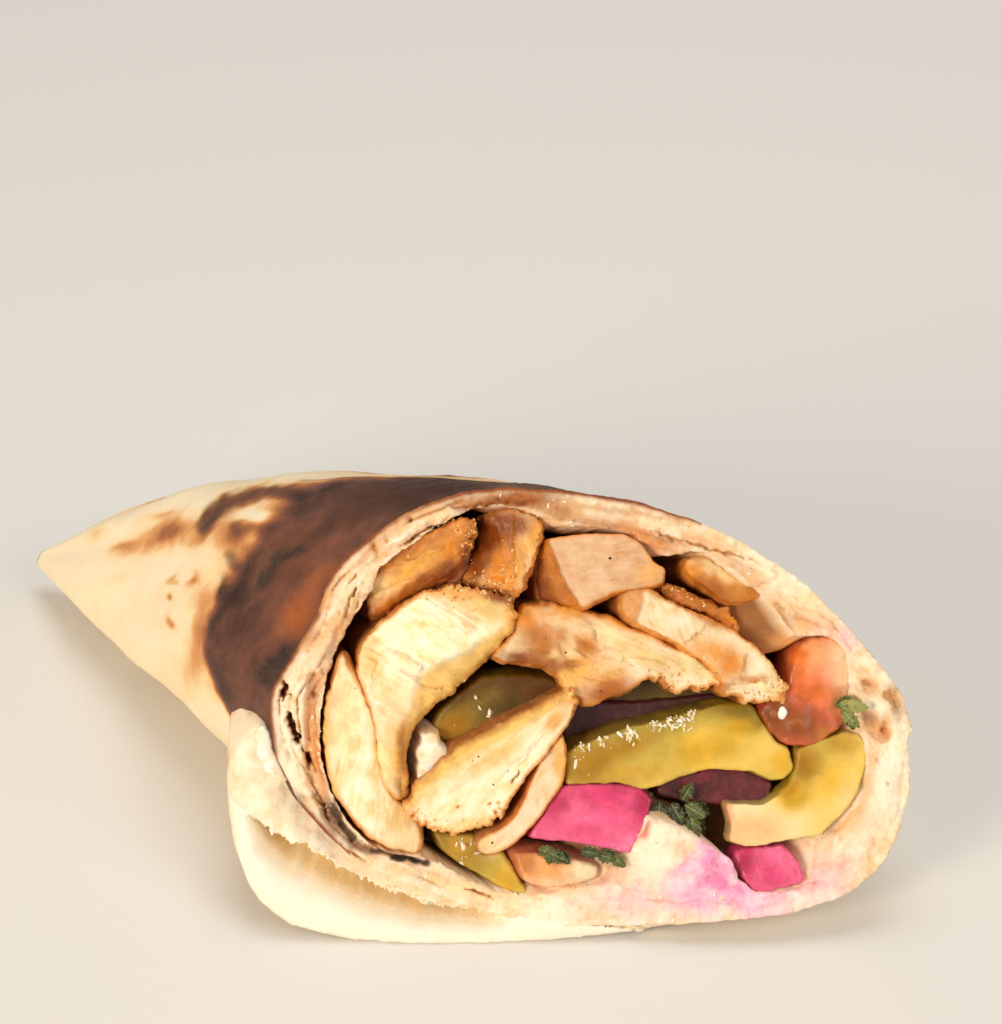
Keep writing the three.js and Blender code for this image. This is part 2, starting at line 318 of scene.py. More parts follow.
def evenly(points, spacing, closed=True):
    points = np.asarray(points, float)
    line = np.vstack([points, points[:1]]) if closed else points
    run = np.concatenate([[0], np.cumsum(np.linalg.norm(np.diff(line, axis=0), axis=1))])
    count = max(8, round(run[-1] / spacing))
    at = np.linspace(0, run[-1], count, endpoint=not closed)
    return np.stack([np.interp(at, run, line[:, 0]), np.interp(at, run, line[:, 1])], 1)


def softened(points, spacing, radius):
    # an evenly spaced closed outline with its corners rounded to about the radius
    loop = evenly(points, spacing)
    for _ in range(round(2 * (radius / spacing) ** 2)):
        loop = (np.roll(loop, 1, 0) + 2 * loop + np.roll(loop, -1, 0)) / 4
    loop = evenly(loop, spacing)
    x, y = loop.T
    turning = (x * np.roll(y, -1) - y * np.roll(x, -1)).sum()
    return loop if turning > 0 else loop[::-1]


def outwardOf(loop):
    along = np.roll(loop, -1, 0) - np.roll(loop, 1, 0)
    out = np.stack([along[:, 1], -along[:, 0]], 1)
    return out / np.linalg.norm(out, axis=1)[:, None]


def ragged(loop, amount, size, seed):
    wobble = noise(loop, size, seed, 2)
    return loop + outwardOf(loop) * (wobble * amount)[:, None]


def inside(points, loop):
    x, y = points[:, :1], points[:, 1:]
    a, b = loop, np.roll(loop, -1, 0)
    result = np.empty(len(points), bool)
    for i in range(0, len(points), handful):
        px, py = x[i : i + handful], y[i : i + handful]
        spans = (a[:, 1] > py) != (b[:, 1] > py)
        rise = np.where(b[:, 1] == a[:, 1], 1e-9, b[:, 1] - a[:, 1])
        cross = px < (b[:, 0] - a[:, 0]) * (py - a[:, 1]) / rise + a[:, 0]
        result[i : i + handful] = (spans & cross).sum(1) % 2 == 1
    return result


def nearest(points, line):
    # distance to the nearest point of a finely spaced line, and which one it is
    far = np.empty(len(points))
    which = np.empty(len(points), int)
    for i in range(0, len(points), handful):
        gap = ((points[i : i + handful, None] - line[None]) ** 2).sum(2)
        which[i : i + handful] = gap.argmin(1)
        far[i : i + handful] = np.sqrt(gap.min(1))
    return far, which


def gridInside(loops, spacing, seed, extra=None):
    # scattered points inside the first loop and outside the others, clear of all of them
    low, high = loops[0].min(0), loops[0].max(0)
    rows = np.arange(low[1], high[1], spacing * 0.866)
    columns = np.arange(low[0], high[0], spacing)
    x, y = np.meshgrid(columns, rows)
    x = x + (np.arange(len(rows)) % 2)[:, None] * spacing / 2
    points = np.stack([x.ravel(), y.ravel()], 1)
    points += np.random.default_rng(seed).uniform(-0.18, 0.18, points.shape) * spacing
    keep = inside(points, loops[0])
    for hole in loops[1:]:
        keep &= ~inside(points, hole)
    points = points[keep]
    lines = loops if extra is None else loops + extra
    return points[nearest(points, np.vstack(lines))[0] > spacing * 0.6]


def triangulated(loops, spacing, seed, lines=()):
    # a fine triangle mesh between the loops: points, faces, and the loops as indexes
    points = gridInside(loops, spacing, seed, list(lines) or None)
    everything = np.vstack(list(loops) + list(lines) + [points])
    edges, starts, first = [], [], 0
    for loop in loops:
        n = len(loop)
        starts.append(range(first, first + n))
        edges += [(first + i, first + (i + 1) % n) for i in range(n)]
        first += n
    for line in lines:
        edges += [(first + i, first + i + 1) for i in range(len(line) - 1)]
        first += len(line)
    made, _, faces, sources, _, _ = delaunay_2d_cdt([Vector(p) for p in everything], edges, [], 0, 1e-5)
    made = np.array([tuple(p) for p in made])
    place = {old: new for new, olds in enumerate(sources) for old in olds}
    faces = np.array([f for f in faces if len(f) == 3])
    middles = made[faces].mean(1)
    keep = inside(middles, loops[0])
    for hole in loops[1:]:
        keep &= ~inside(middles, hole)
    return made, faces[keep], [[place[i] for i in run] for run in starts]


class Shell:
    # a closed surface put together from a front sheet and rings that run back from its edges
    def __init__(self):
        self.points, self.faces, self.count = [], [], 0
        self.marks = {}

    def add(self, points, **marks):
        first = self.count
        for key in set(marks) | set(self.marks):
            value = np.asarray(marks.get(key, 0.0), float)
            values = np.broadcast_to(value, (len(points),) + value.shape[1:])
            self.marks.setdefault(key, []).append((first, values))
        self.points.append(points)
        self.count += len(points)
        return first

    def join(self, front, back):
        n = len(front)
        for i in range(n):
            j = (i + 1) % n
            self.faces.append((front[i], back[i], back[j], front[j]))

    def addRing(self, last, points, **marks):
        first = self.add(points, **marks)
        ring = list(range(first, first + len(points)))
        self.join(last, ring)
        return ring

    def close(self, ring):
        middle = np.vstack(self.points)[list(ring)].mean(0)
        top = self.add(middle[None])
        n = len(ring)
        self.faces += [(ring[(i + 1) % n], ring[i], top) for i in range(n)]

    def mesh(self, name):
        mesh = bpy.data.meshes.new(name)
        mesh.from_pydata(np.vstack(self.points) * mm, [], self.faces)
        for key, parts in self.marks.items():
            wide = max(v.ndim for _, v in parts)
            values = np.zeros((self.count, 3) if wide == 2 else self.count)
            for first, part in parts:
                if part.ndim == wide:
                    values[first : first + len(part)] = part
            kind, field = ("FLOAT_VECTOR", "vector") if wide == 2 else ("FLOAT", "value")
            mesh.attributes.new(key, kind, "POINT").data.foreach_set(field, values.ravel())
        mesh.shade_smooth()
        mesh.validate()
        return mesh


def addPiece(name, mesh, material, nodes, slot):
    piece = bpy.data.objects.new(name, mesh)
    bpy.context.collection.objects.link(piece)
    mesh.materials.clear()
    mesh.materials.append(material)
    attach(piece, "root")
    if nodes:
        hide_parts(*nodes)
    return piece


# ---- bread: where it is toasted, charred and stained ----
# Places on the skin are depth behind the cut and degrees round the middle, 90 at the top
# and 180 at the left. Each patch is place, size in depth and round the skin, and strength.
skinRadius = 45  # from the middle of the roll to its skin, mm
toasting = {
    # how far the scorched band reaches back from the cut, by degrees
    "reach": [
        (60, 4), (84, 13), (100, 17), (110, 19), (119, 22.5), (127, 29), (133, 30), (137, 26),
        (142, 22.5), (150, 20.8), (165, 21.4), (176, 19.6), (181, 18), (186, 15.5), (191, 12.5), (196, 9),
        (202, 5), (210, 0),
    ],
    "strength": 0.66,
    "patches": [
        ((15, 171), (7, 9), 0.1), ((4, 120), (12, 10), 0.16), ((10, 104), (13, 14), 0.16),
        ((2, 166), (4, 3), 0.12), ((13, 150), (5, 4), 0.12), ((12, 136), (6, 6), 0.04),
        ((21, 124), (5, 5), 0.06), ((5.5, 163), (3.6, 4.2), -0.17), ((3, 152), (2.8, 7), -0.12),
        ((11, 155), (3, 3.4), -0.08), ((25, 143.5), (5, 2.2), -0.4), ((29, 137), (4, 2.6), -0.22),
        ((27, 150), (5, 3), 0.2), ((22, 147), (4, 3), 0.2), ((43.5, 152), (7, 2.6), 0.27),
        ((36, 156), (6, 2.4), 0.14), ((54, 161), (3, 1.8), 0.2), ((50, 145), (4, 1.6), 0.2),
        ((30, 179), (1.6, 1), 0.3), ((62, 150), (3, 2), 0.14), ((33, 173), (1.4, 0.8), 0.34),
        ((36, 168), (1, 0.8), 0.22), ((60, 120), (6, 4), 0.2), ((30, 95), (9, 10), 0.45),
        ((18, 60), (12, 12), 0.62), ((34, 40), (8, 9), 0.4), ((14, 20), (8, 10), 0.45),
        ((48, 75), (6, 6), 0.3), ((24, -5), (7, 6), 0.3), ((50, 10), (5, 4), 0.24),
        ((12, -60), (10, 14), 0.3), ((30, -100), (10, 12), 0.34),
    ],
}
# patches and streaks given where they show on the cut plane: place, half length, half width, turn, strength
toastSeen = [
    ((-60.2, 68.8), (1.3, 3.0, -38), 0.5), ((-55, 71.8), (4, 1.2, 14), 0.45),
    ((-49, 72.4), (4, 1.4, 4), 0.4), ((-56.2, 64.6), (2.0, 1.8, 40), 0.16),
    ((-60.4, 71.4), (1.6, 1.0, 30), -0.14), ((-46.4, 71), (3, 1.6, 10), -0.1),
    ((-70.6, 65.2), (5.4, 1.9, 24), 0.22), ((-65.4, 68.2), (3.4, 1.4, 30), 0.07),
    ((-67, 56), (6, 3, 20), 0.04), ((-52, 69.4), (7, 2.8, 14), 0.26),
    ((-55.4, 66.8), (3.4, 2.4, 20), 0.08), ((-49, 64), (4, 4, 30), -0.12),
    ((-56.4, 61.6), (3.2, 3, 30), 0.16), ((-62.8, 50.2), (1.8, 6.4, -6), 0.3),
    ((-65.6, 44), (2.4, 4, 20), 0.07), ((-60.2, 42.6), (2, 4, 20), 0.1), ((-59, 56.4), (3, 2.6, 40), 0.2),
    ((-63, 59.2), (1.4, 0.7, 50), 0.3), ((-66.8, 58.6), (1.0, 0.5, 30), 0.2),
    ((-61.2, 65.6), (1.2, 0.6, 50), 0.16), ((-75.6, 59.4), (3, 1.2, 10), 0.06),
    ((-68, 51.6), (2.6, 1.2, -30), 0.05),
]
charSeen = [
    ([(-61.6, 67.4), (-60.4, 69.2), (-57.6, 71)], 1.15, 0.75),
    ([(-57.6, 71), (-54, 72.1), (-50, 72.8)], 0.9, 0.6), ([(-50, 72.8), (-46.4, 72.6)], 0.6, 0.4),
    ([(-56.6, 67.4), (-56, 66.2)], 0.5, 0.5), ([(-57.2, 62.6), (-56.6, 61)], 0.7, 0.7),
]
skinTones = {"char": "#42200f", "burnt": "#5a3526", "scorched": "#7e4f38", "rust": "#ae6134"}
skinWashes = [
    ((-46.8, 53.4), (2.6, 4.4, -28), "rust", 0.75), ((-43.4, 59.4), (1.6, 3.4, -40), "rust", 0.5),
    ((-48.4, 60.4), (3, 3, 0), "burnt", 0.7), ((-29, 72.8), (9, 2.2, 10), "char", 0.85),
    ((-20, 74.2), (6, 1.4, 0), "char", 0.8), ((-13, 73.4), (4, 1.0, -4), "scorched", 0.85),
    ((-22, 75.2), (9, 1.2, 3), "char", 0.9), ((-37, 70.4), (6, 2.4, 28), "burnt", 0.6),
    ((-55.4, 43), (3, 3, 0), "scorched", 0.4), ((-46.6, 64), (3.6, 3, 30), "scorched", 0.5),
]
# char: streaks from one place to the next, and how wide they are
charring = [
    ((29, 126), (20, 119), 0.2), ((20, 119), (12, 108), 0.2), ((20.6, 166), (22, 162), 0.8),
    ((18.2, 170), (17.6, 174), 0.7), ((15, 181), (13, 184), 0.8), ((12, 152), (10.6, 149), 1.2),
    ((1.2, 169), (3.6, 174), 2.0), ((14, 158), (13, 152), 1.2),
]


def skinGap(depth, angle, place):
    shrink = sectionAt(depth)[2]
    turn = (angle - place[1] + 180) % 360 - 180
    return depth - place[0], np.radians(turn) * skinRadius * shrink


def toastAt(depth, angle, where):
    wobble = noise(where, 9, 3, 3)
    turned = angle % 360
    reach = np.interp(turned, *np.array(toasting["reach"]).T, left=-9, right=-9) + 1.3 * wobble
    fade = 2.6 + 6 * ramp(152 - turned, 0, 22)
    toast = toasting["strength"] * ramp(reach - depth, -1.4, fade)
    toast += 0.07 * noise(where, 5, 13, 3) * ramp(toast, 0.2, 0.6)
    for place, (long, round_), strength in toasting["patches"]:
        dd, da = skinGap(depth, angle, place)
        dd, da = dd + 0.9 * wobble, da + 0.9 * noise(where, 6, 8, 2)
        toast = toast + strength * np.exp(-((dd / long) ** 2 + (da / round_) ** 2) * 1.2)
    seen = seenPlace(where) + 0.6 * drift(where, 3, 14, 2)
    for place, (long, wide, turn), strength in toastSeen:
        x, y = turnedFrom(seen, place, turn)
        toast = toast + strength * np.exp(-((x / long) ** 2 + (y / wide) ** 2)) * facingFront(turned)
    return np.clip(toast, 0, 1)


def facingFront(turned):
    return ramp(turned, 78, 88) * ramp(222 - turned, 0, 8)


def charAt(depth, angle, where):
    char = np.zeros(len(depth))
    wobble = noise(where, 2.5, 12, 2)
    for start, end, radius in charring:
        a = np.stack(skinGap(depth, angle, start), 1)
        shrink = sectionAt(np.array([start[0]]))[2][0]
        way = np.array([end[0] - start[0], math.radians(end[1] - start[1]) * skinRadius * shrink])
        along = np.clip((a @ way) / (way @ way), 0, 1)
        gap = np.linalg.norm(a - along[:, None] * way, axis=1)
        char = np.maximum(char, ramp(radius * (1.1 + 0.6 * wobble) - gap, -1.1, 1.3))
    seen = seenPlace(where)
    for way, radius, strength in charSeen:
        gap = wayGap(seen, way)
        share = ramp(radius * (1.05 + 0.3 * wobble) - gap, -0.8, 0.6) * facingFront(angle % 360)
        char = np.maximum(char, strength * share)
    return char


# ---- bread: the roll ----
breadTones = {
    "scorched": "#966f56", "browned": "#a2643a", "toasted": "#c38a58", "oiled": "#d4864a",
    "tan": "#dda574", "golden": "#eab078", "buttered": "#fac28c", "cream": "#efc590", "pale": "#fddcaa",
    "white": "#fff3d8", "blush": "#fad0be", "beet": "#d4606c",
}
roll = {
    "outside": [
        (-51.2, 36.5), (-50.9, 41.3), (-48.8, 44.8), (-46.1, 49), (-43.5, 53.3), (-41.9, 58.6),
        (-39.2, 62.4), (-34.4, 66.2), (-29.1, 69.8), (-22, 72.6), (-14, 73.8), (-4, 73.2), (8, 71.2),
        (17, 68.4), (24, 65.1), (33.9, 58.9), (41.9, 50.9), (47.7, 44), (50.2, 40.4), (50.7, 37.4),
        (51.9, 36.3), (52, 35), (50.8, 34.2), (51.4, 27.2), (50, 19.5), (47, 13.4), (41.6, 8.6),
        (32, 5.4), (17.6, 4), (4.8, 3.4), (-8, 3.6), (-18, 6), (-30.1, 10.4), (-38.7, 14.8),
        (-46.1, 22.6), (-50.2, 30.5),
    ],
    "inside": [
        (-43.4, 33.3), (-43, 38.2), (-42.2, 42.9), (-40.3, 48.5), (-37.2, 53.8), (-34.9, 57.2),
        (-33.6, 61), (-28, 64.9), (-24, 67.8), (-19.5, 70), (-14.4, 71), (-9.9, 70.2), (-6, 67.4),
        (1.6, 67.2), (6.1, 66.6), (12, 62.6), (18.4, 63.4), (23.2, 60.5), (28.6, 56), (32.8, 50),
        (36.8, 49.8), (39.6, 49.8), (41.6, 47.7), (42.3, 42.9), (43.5, 38.1), (45, 32.5), (45, 27.7),
        (43.5, 23.2), (40, 19.5), (36, 16.6), (35.6, 11), (33, 9.4), (27, 8.7), (23.6, 11), (22.8, 14.2),
        (20.6, 15.6), (18.2, 16.9), (16, 18.6), (12.8, 20), (10, 21), (8, 17.9), (5.8, 14.9), (2.9, 13),
        (1.6, 10.4), (-5, 9.4), (-10, 8.2), (-14.7, 9), (-20, 11.2), (-25, 13.9), (-31.5, 15),
        (-35, 16.4), (-38.1, 19.3), (-40.5, 22.8), (-42.6, 28),
    ],
    "edgeWave": 0.8,
    # thickness of one sheet of the bread
    "layer": 1.45, "step": 0.42, "spacing": 0.27, "hollow": 44,
    # where the cut bread is whitest: place, radius, strength
    "floury": [
        ((11.6, 15.6), 4.6, 1.0), ((-44.6, 47), 3.4, 0.6), ((-40.6, 55), 4, 0.6), ((-45, 33), 1.6, 0.5),
        ((47.6, 28), 5, 0.7), ((45, 20), 4, 0.5), ((34, 58.6), 5, 0.5), ((-6, 6.4), 8, 0.4),
        ((-24, 11), 5, 0.4), ((-30, 68), 6, 0.3),
    ],
    # splits in the cut edge: from, to, width, depth
    "splits": [
        ((-48.5, 37.4), (-46.6, 32.6), 0.75, 3.0), ((-48.9, 43), (-49.1, 39.4), 0.55, 2.6),
        ((-46.2, 31.8), (-44.8, 28.4), 0.35, 1.8), ((-44.9, 25.6), (-41.6, 20.4), 0.26, 1.2),
        ((-30.5, 64.2), (-22.5, 69.2), 0.3, 1.6), ((-38.3, 55.8), (-37.2, 58), 0.26, 1.2),
        ((-42.4, 17.4), (-36, 13.8), 0.25, 1.2), ((-20.5, 9.4), (-15.5, 7.9), 0.3, 1.2),
        ((6, 7.4), (24, 7.2), 0.16, 0.4), ((26, 7.6), (38, 10.6), 0.16, 0.4),
        ((43.7, 42.9), (45.1, 42), 0.4, 0.5), ((47.3, 41.6), (48.9, 38.2), 0.5, 0.55),
        ((46.7, 36.6), (47.3, 33.8), 0.42, 0.5), ((45.6, 30.6), (46.2, 29.8), 0.3, 0.4),
        ((47.2, 26.6), (47.8, 26.2), 0.25, 0.5), ((36, 55), (43, 46.6), 0.16, 0.5),
        ((-22, 70.6), (-8, 71.6), 0.3, 1.2), ((10, 66.6), (26, 62), 0.26, 1.0),
    ],
    # soft swellings of the cut edge: place, radius, height
    "swellings": [
        ((12.2, 17.6), 4.4, 1.7), ((47.6, 30), 3.4, 1.1), ((47, 22), 3, 0.9), ((46.4, 36.6), 2, 1.0),
        ((-37.6, 57), 2.2, 1.5), ((-39.3, 54.4), 1.8, 1.0), ((-46.6, 46.4), 2.6, 0.7),
        ((43.6, 44.6), 2.2, 0.9), ((20.6, 14), 3.4, 0.8), ((0, 7.8), 4, 0.5), ((30, 7), 4, 0.5),
        ((-47.4, 41), 1.8, 0.6),
    ],
    # where the edge is crumbly, where the turnip has stained it, and where the stain has veins
    "crumbly": [((21.5, 12.2), 6.0, 1.0)],
    "stains": [
        ((20.6, 13), 5.6, 1.15), ((28, 8), 5.4, 0.7), ((17, 9.6), 4, 0.8), ((37, 9.4), 5, 0.4),
        ((8, 8), 7, 0.45), ((40.4, 12.4), 4, 0.25), ((44, 18), 3, 0.1), ((40.8, 49.4), 3.6, 0.5),
        ((48.4, 25), 2.6, 0.12), ((-2, 7.6), 4, 0.22), ((36.6, 53), 3.0, 0.15), ((25.4, 12), 1.6, 0.9),
        ((24, 9.4), 1.4, 0.7), ((18.4, 15.6), 1.0, 0.5), ((11, 17), 4.6, -0.6),
    ],
    "veined": [((21.5, 12.6), 5.0, 1.0)],
    # how far the inner side comes in behind the cut: place on its rim, radius, reach
    "lining": [
        ((31.6, 53.4), 5.5, 10.0), ((24, 60), 4, 2.0), ((-40.4, 48.6), 5, 1.4), ((-12, 70.6), 5, 1.2),
        ((-29, 64.4), 7, 1.9), ((0, 67.2), 6, 1.6), ((10.6, 63.6), 3.4, 1.4), ((17, 19), 5, 1.6),
    ],
    # patches of colour on the cut
    "washes": [
        ((-44.8, 49.6), (1.3, 1.8, -30), "toasted", 0.85), ((-41.9, 56), (1.1, 2.8, -35), "golden", 0.8),
        ((-30.4, 67), (3, 1.0, 30), "cream", 0.8), ((-40.4, 52), (1.5, 3.6, -30), "golden", 0.75),
        ((-38.4, 56), (1.6, 3, -30), "pale", 0.85), ((-43.6, 48.8), (2, 3.4, -30), "buttered", 0.55),
        ((-44.6, 33.4), (1.2, 6.5, 0), "golden", 0.9), ((-43.1, 29.6), (0.8, 5, 10), "oiled", 0.85),
        ((-48.4, 27.6), (1.6, 4.6, 14), "white", 0.9), ((-48.8, 36.6), (1.5, 4, 4), "white", 0.9),
        ((-41.6, 21), (1.5, 3.4, 32), "scorched", 0.95), ((-37, 16.4), (3.2, 0.9, -24), "scorched", 0.85),
        ((-30, 12.4), (4, 1.2, -16), "cream", 0.6), ((-24, 11), (3.6, 1.0, -18), "cream", 0.7),
        ((-16.6, 8.8), (6, 1.5, -14), "pale", 0.8), ((-24.6, 69.6), (3, 1.0, 28), "cream", 0.5),
        ((-15, 71.2), (6.6, 1.5, 6), "browned", 0.95), ((-9.6, 71.8), (5, 1.3, 0), "browned", 0.9),
        ((-4.6, 69.6), (4, 1.6, -10), "toasted", 0.8), ((2.4, 67.6), (5, 1.3, -8), "toasted", 0.8),
        ((10, 65.2), (6, 1.4, -22), "oiled", 0.8), ((4, 70), (10, 0.7, -8), "toasted", 0.6),
        ((18, 65.4), (5, 1.2, -26), "golden", 0.5), ((24, 60.2), (5, 1.4, -32), "tan", 0.6),
        ((1.4, 12.4), (5, 1.7, 4), "golden", 0.6), ((-5, 9.4), (6, 1.3, 0), "buttered", 0.65),
        ((42.2, 21.2), (1.9, 3.6, -32), "buttered", 0.75), ((8.4, 19.2), (1.1, 2.2, -28), "beet", 0.85),
        ((14.4, 16), (2.4, 1.6, -20), "buttered", 0.5), ((34.6, 17), (2.4, 1.0, -20), "buttered", 0.6),
        ((-36, 62.6), (6, 0.8, 44), "tan", 0.7), ((-29, 69), (5, 0.8, 26), "tan", 0.5),
        ((24.6, 56.6), (3, 1.2, -36), "browned", 0.7), ((44.4, 31), (0.9, 5, 0), "cream", 0.6),
        ((41.8, 38.8), (1.6, 2.4, 0), "tan", 0.7), ((34.4, 52), (3, 1.2, -20), "golden", 0.85),
        # painted shade: the toasted patch darkens the rim of the hollow by the tomato
        ((30.6, 53), (3, 1.0, -50), "toasted", 0.8), ((36, 54.8), (4, 1.4, -40), "pale", 0.6),
        ((48.4, 39.8), (1.3, 2.4, 20), "toasted", 0.85), ((47, 35.2), (1.0, 1.8, 0), "tan", 0.8),
        ((44.6, 41.6), (1.6, 1.2, -20), "tan", 0.7), ((9, 7.6), (8, 1.2, 0), "blush", 0.6),
    ],
    # broad strokes on the cut edge: way, width, how far set back, how oily, how charred
    "strokes": [
        ([(-43.9, 43), (-44.6, 38), (-44.7, 32), (-43.7, 26), (-41.4, 21)], 1.1, 1.5, 0.62, 0.0),
        ([(-39.6, 50.4), (-41.2, 46.6), (-43, 43)], 1.0, 1.2, 0.5, 0.0),
        ([(-36.6, 56.2), (-38.6, 52.6), (-39.6, 49.6)], 0.8, 0.6, 0.55, 0.0),
        ([(-33.6, 62.6), (-30, 64.8), (-25, 67.8)], 0.7, 0.8, 0.5, 0.0),
        ([(-41.3, 22.6), (-40.2, 20.2), (-38.2, 17.6)], 0.62, 1.3, 0.8, 0.8),
        ([(-38.2, 17.6), (-36.6, 16.4), (-34.8, 15.8)], 0.34, 0.8, 0.85, 0.25),
        ([(-34.8, 15.7), (-33, 15.3), (-31.4, 14.9)], 0.3, 0.8, 0.8, 0.9),
        ([(-31.4, 14.9), (-29.4, 14.3), (-27.6, 13.8)], 0.55, 1.0, 0.8, 1.0),
        ([(-27.6, 13.8), (-26.2, 13.5)], 0.38, 0.8, 0.8, 0.9),
        ([(-44.6, 27), (-41.4, 20.6), (-37.4, 15.6)], 0.4, 0.2, 0.45, 0.0),
        ([(-20.4, 11.8), (-15, 9.4), (-10.6, 8.2)], 0.5, 0.3, 0.25, 0.0),
        ([(-10, 10.4), (-4, 10.6), (2, 11.4)], 1.2, 0.4, 0.5, 0.0),
        ([(-21, 70.8), (-12, 71.8), (-4, 69.6)], 1.0, 0.6, 0.5, 0.0),
        ([(3, 68.4), (10, 65.6), (19, 64.4), (26, 60)], 0.8, 0.5, 0.35, 0.0),
        ([(28, 57.6), (33, 53.4), (39, 51.8)], 1.0, 1.0, 0.25, 0.0),
        ([(43.4, 44), (46.4, 40), (48.6, 40)], 0.7, 0.5, 0.3, 0.0),
        ([(42.4, 37.2), (45, 36.4), (46.6, 34.2)], 1.3, 1.5, 0.6, 0.0),
        ([(45.4, 33), (44.8, 27), (42.6, 22.6), (39, 19)], 1.0, 0.7, 0.4, 0.0),
        ([(37.6, 17.6), (36.8, 13), (34.6, 10)], 1.5, 0.6, 0.45, 0.0),
        ([(49.4, 41), (50.6, 37.6)], 0.7, 0.3, 0.4, 0.0),
    ],
}


def edgeWave(uv):
    angle = np.arctan2(uv[:, 1] - wrap["middle"], uv[:, 0])
    return roll["edgeWave"] * (0.6 * np.sin(3 * angle + 1) + 0.4 * np.sin(8 * angle))


def splitsAt(uv, splits, seed):
    depth, mark = np.zeros(len(uv)), np.zeros(len(uv))
    bent = uv + 0.5 * drift(uv, 2.2, seed, 2)
    for a, b, width, deep in splits:
        gap, along = lineGap(bent, a, b)
        taper = np.clip(np.minimum(along, 1 - along) * 5, 0.2, 1)
        slot = ramp(width * taper * (1 + 0.7 * noise(uv, 1.1, seed + 2, 2)) - gap, -0.2, 0.2)
        depth = np.maximum(depth, slot * deep)
        mark = np.maximum(mark, slot * min(1, 0.25 + deep / 2.4))
    return depth, mark


def strokesAt(uv):
    back, oily, burnt = np.zeros(len(uv)), np.zeros(len(uv)), np.zeros(len(uv))
    bent = uv + 0.35 * drift(uv, 2.6, 34, 2)
    for way, width, setBack, oil, char in roll["strokes"]:
        gap = wayGap(bent, way)
        share = ramp(width - gap, -0.45, 0.35)
        back = np.maximum(back, share * setBack)
        oily = np.maximum(oily, ramp(width - gap, -0.9, 0.5) * oil)
        burnt = np.maximum(burnt, ramp(width * (1 + 0.5 * noise(uv, 1.3, 36, 2)) - gap, -0.3, 0.2) * char)
    return back, oily, burnt


def cutEdge(uv, outer, inner):
    # the relief of the cut bread, and how far each place is into a gap between sheets
    dOut, which = nearest(uv, outer)
    dIn, _ = nearest(uv, inner)
    anchor = outer[which]
    x = dOut / roll["layer"] + 0.3 * noise(anchor, 11, 21) + 0.14 * noise(uv, 3, 22)
    sheet = np.round(x)
    toLine = np.abs(x - sheet) * roll["layer"]
    flaky = ramp(-uv[:, 0], 8, 26) + 0.35 * ramp(uv[:, 1], 52, 62)
    open_ = ramp(noise(anchor + sheet[:, None] * 37, 8, 23, 2), -0.1, 0.5) * (dIn > 0.4) * (dOut > 0.4)
    groove = np.clip(0.3 + flaky, 0, 1) * open_ * np.exp(-((toLine / 0.22) ** 2))
    proud = (0.2 + 0.4 * np.clip(flaky, 0, 1)) * noise(anchor + np.floor(x)[:, None] * 53, 6, 24, 3)
    crumb = 0.3 * noise(uv, 1.5, 25, 3) + 0.16 * noise(uv, 0.7, 29)
    pits = np.maximum(0, noise(uv, 1.5, 28, 1) - 0.42) * (0.7 + flaky)
    depth = edgeWave(uv) + 0.9 * groove + proud + crumb + pits
    depth += 0.5 * np.clip(1 - dIn / 0.9, 0, 1) ** 2 + 0.25 * np.clip(1 - dOut / 0.35, 0, 1)
    depth -= blobsAt(uv, roll["swellings"])
    depth += 0.8 * blobsAt(uv, roll["crumbly"]) * noise(uv, 1.9, 26, 3)
    depth += ramp(uv[:, 0], 34, 42) * 0.8 * noise(uv, 4.2, 27, 2)
    back, oily, burnt = strokesAt(uv)
    deep, mark = splitsAt(uv, roll["splits"], 31)
    return depth + deep + back, np.maximum(0.55 * groove * flaky, mark), oily, burnt, dOut, dIn


def stainAt(uv):
    # pink from the pickled turnip, with darker veins in its middle
    veins = np.exp(-((noise(uv, 3.4, 42, 2) / 0.12) ** 2)) * blobsAt(uv, roll["veined"])
    cloudy = 1 + 0.35 * noise(uv, 3.6, 41, 2)
    return np.clip(blobsAt(uv, roll["stains"]) * cloudy + 0.45 * veins, 0, 2)


def skinWrinkles(depth, angle, where):
    # soft folds that gather towards the tip, and small dents
    late = ramp(depth, 6, 40)
    folds = np.sin(np.radians(angle) * 5 + depth * 0.07 + 1.2 * noise(where, 22, 51)) * 0.5
    folds += np.sin(np.radians(angle) * 11 - depth * 0.12 + 2 * noise(where, 16, 52)) * 0.22
    dents = 0.5 * noise(where, 13, 53, 2) + 0.12 * noise(where, 3.2, 54, 2)
    return folds * late + dents * ramp(depth, 0, 4)


def sheetEnd(depth, angle):
    # the edge of the outermost sheet runs slanting down the back of the roll
    seam = 28 - 0.95 * depth
    turn = (angle - seam + 180) % 360 - 180
    return 1.1 * ramp(turn, -0.9, 0.4) * ramp(80 - turn, 0, 60) * ramp(depth, 0, 5) * ramp(70 - depth, 0, 12)


def rested(points):
    # whatever would go through the table is laid on it, pressed into its lowest half mm
    low = 0.5
    points[:, 2] = np.where(points[:, 2] < low, low * np.exp((points[:, 2] - low) / low), points[:, 2])
    return points


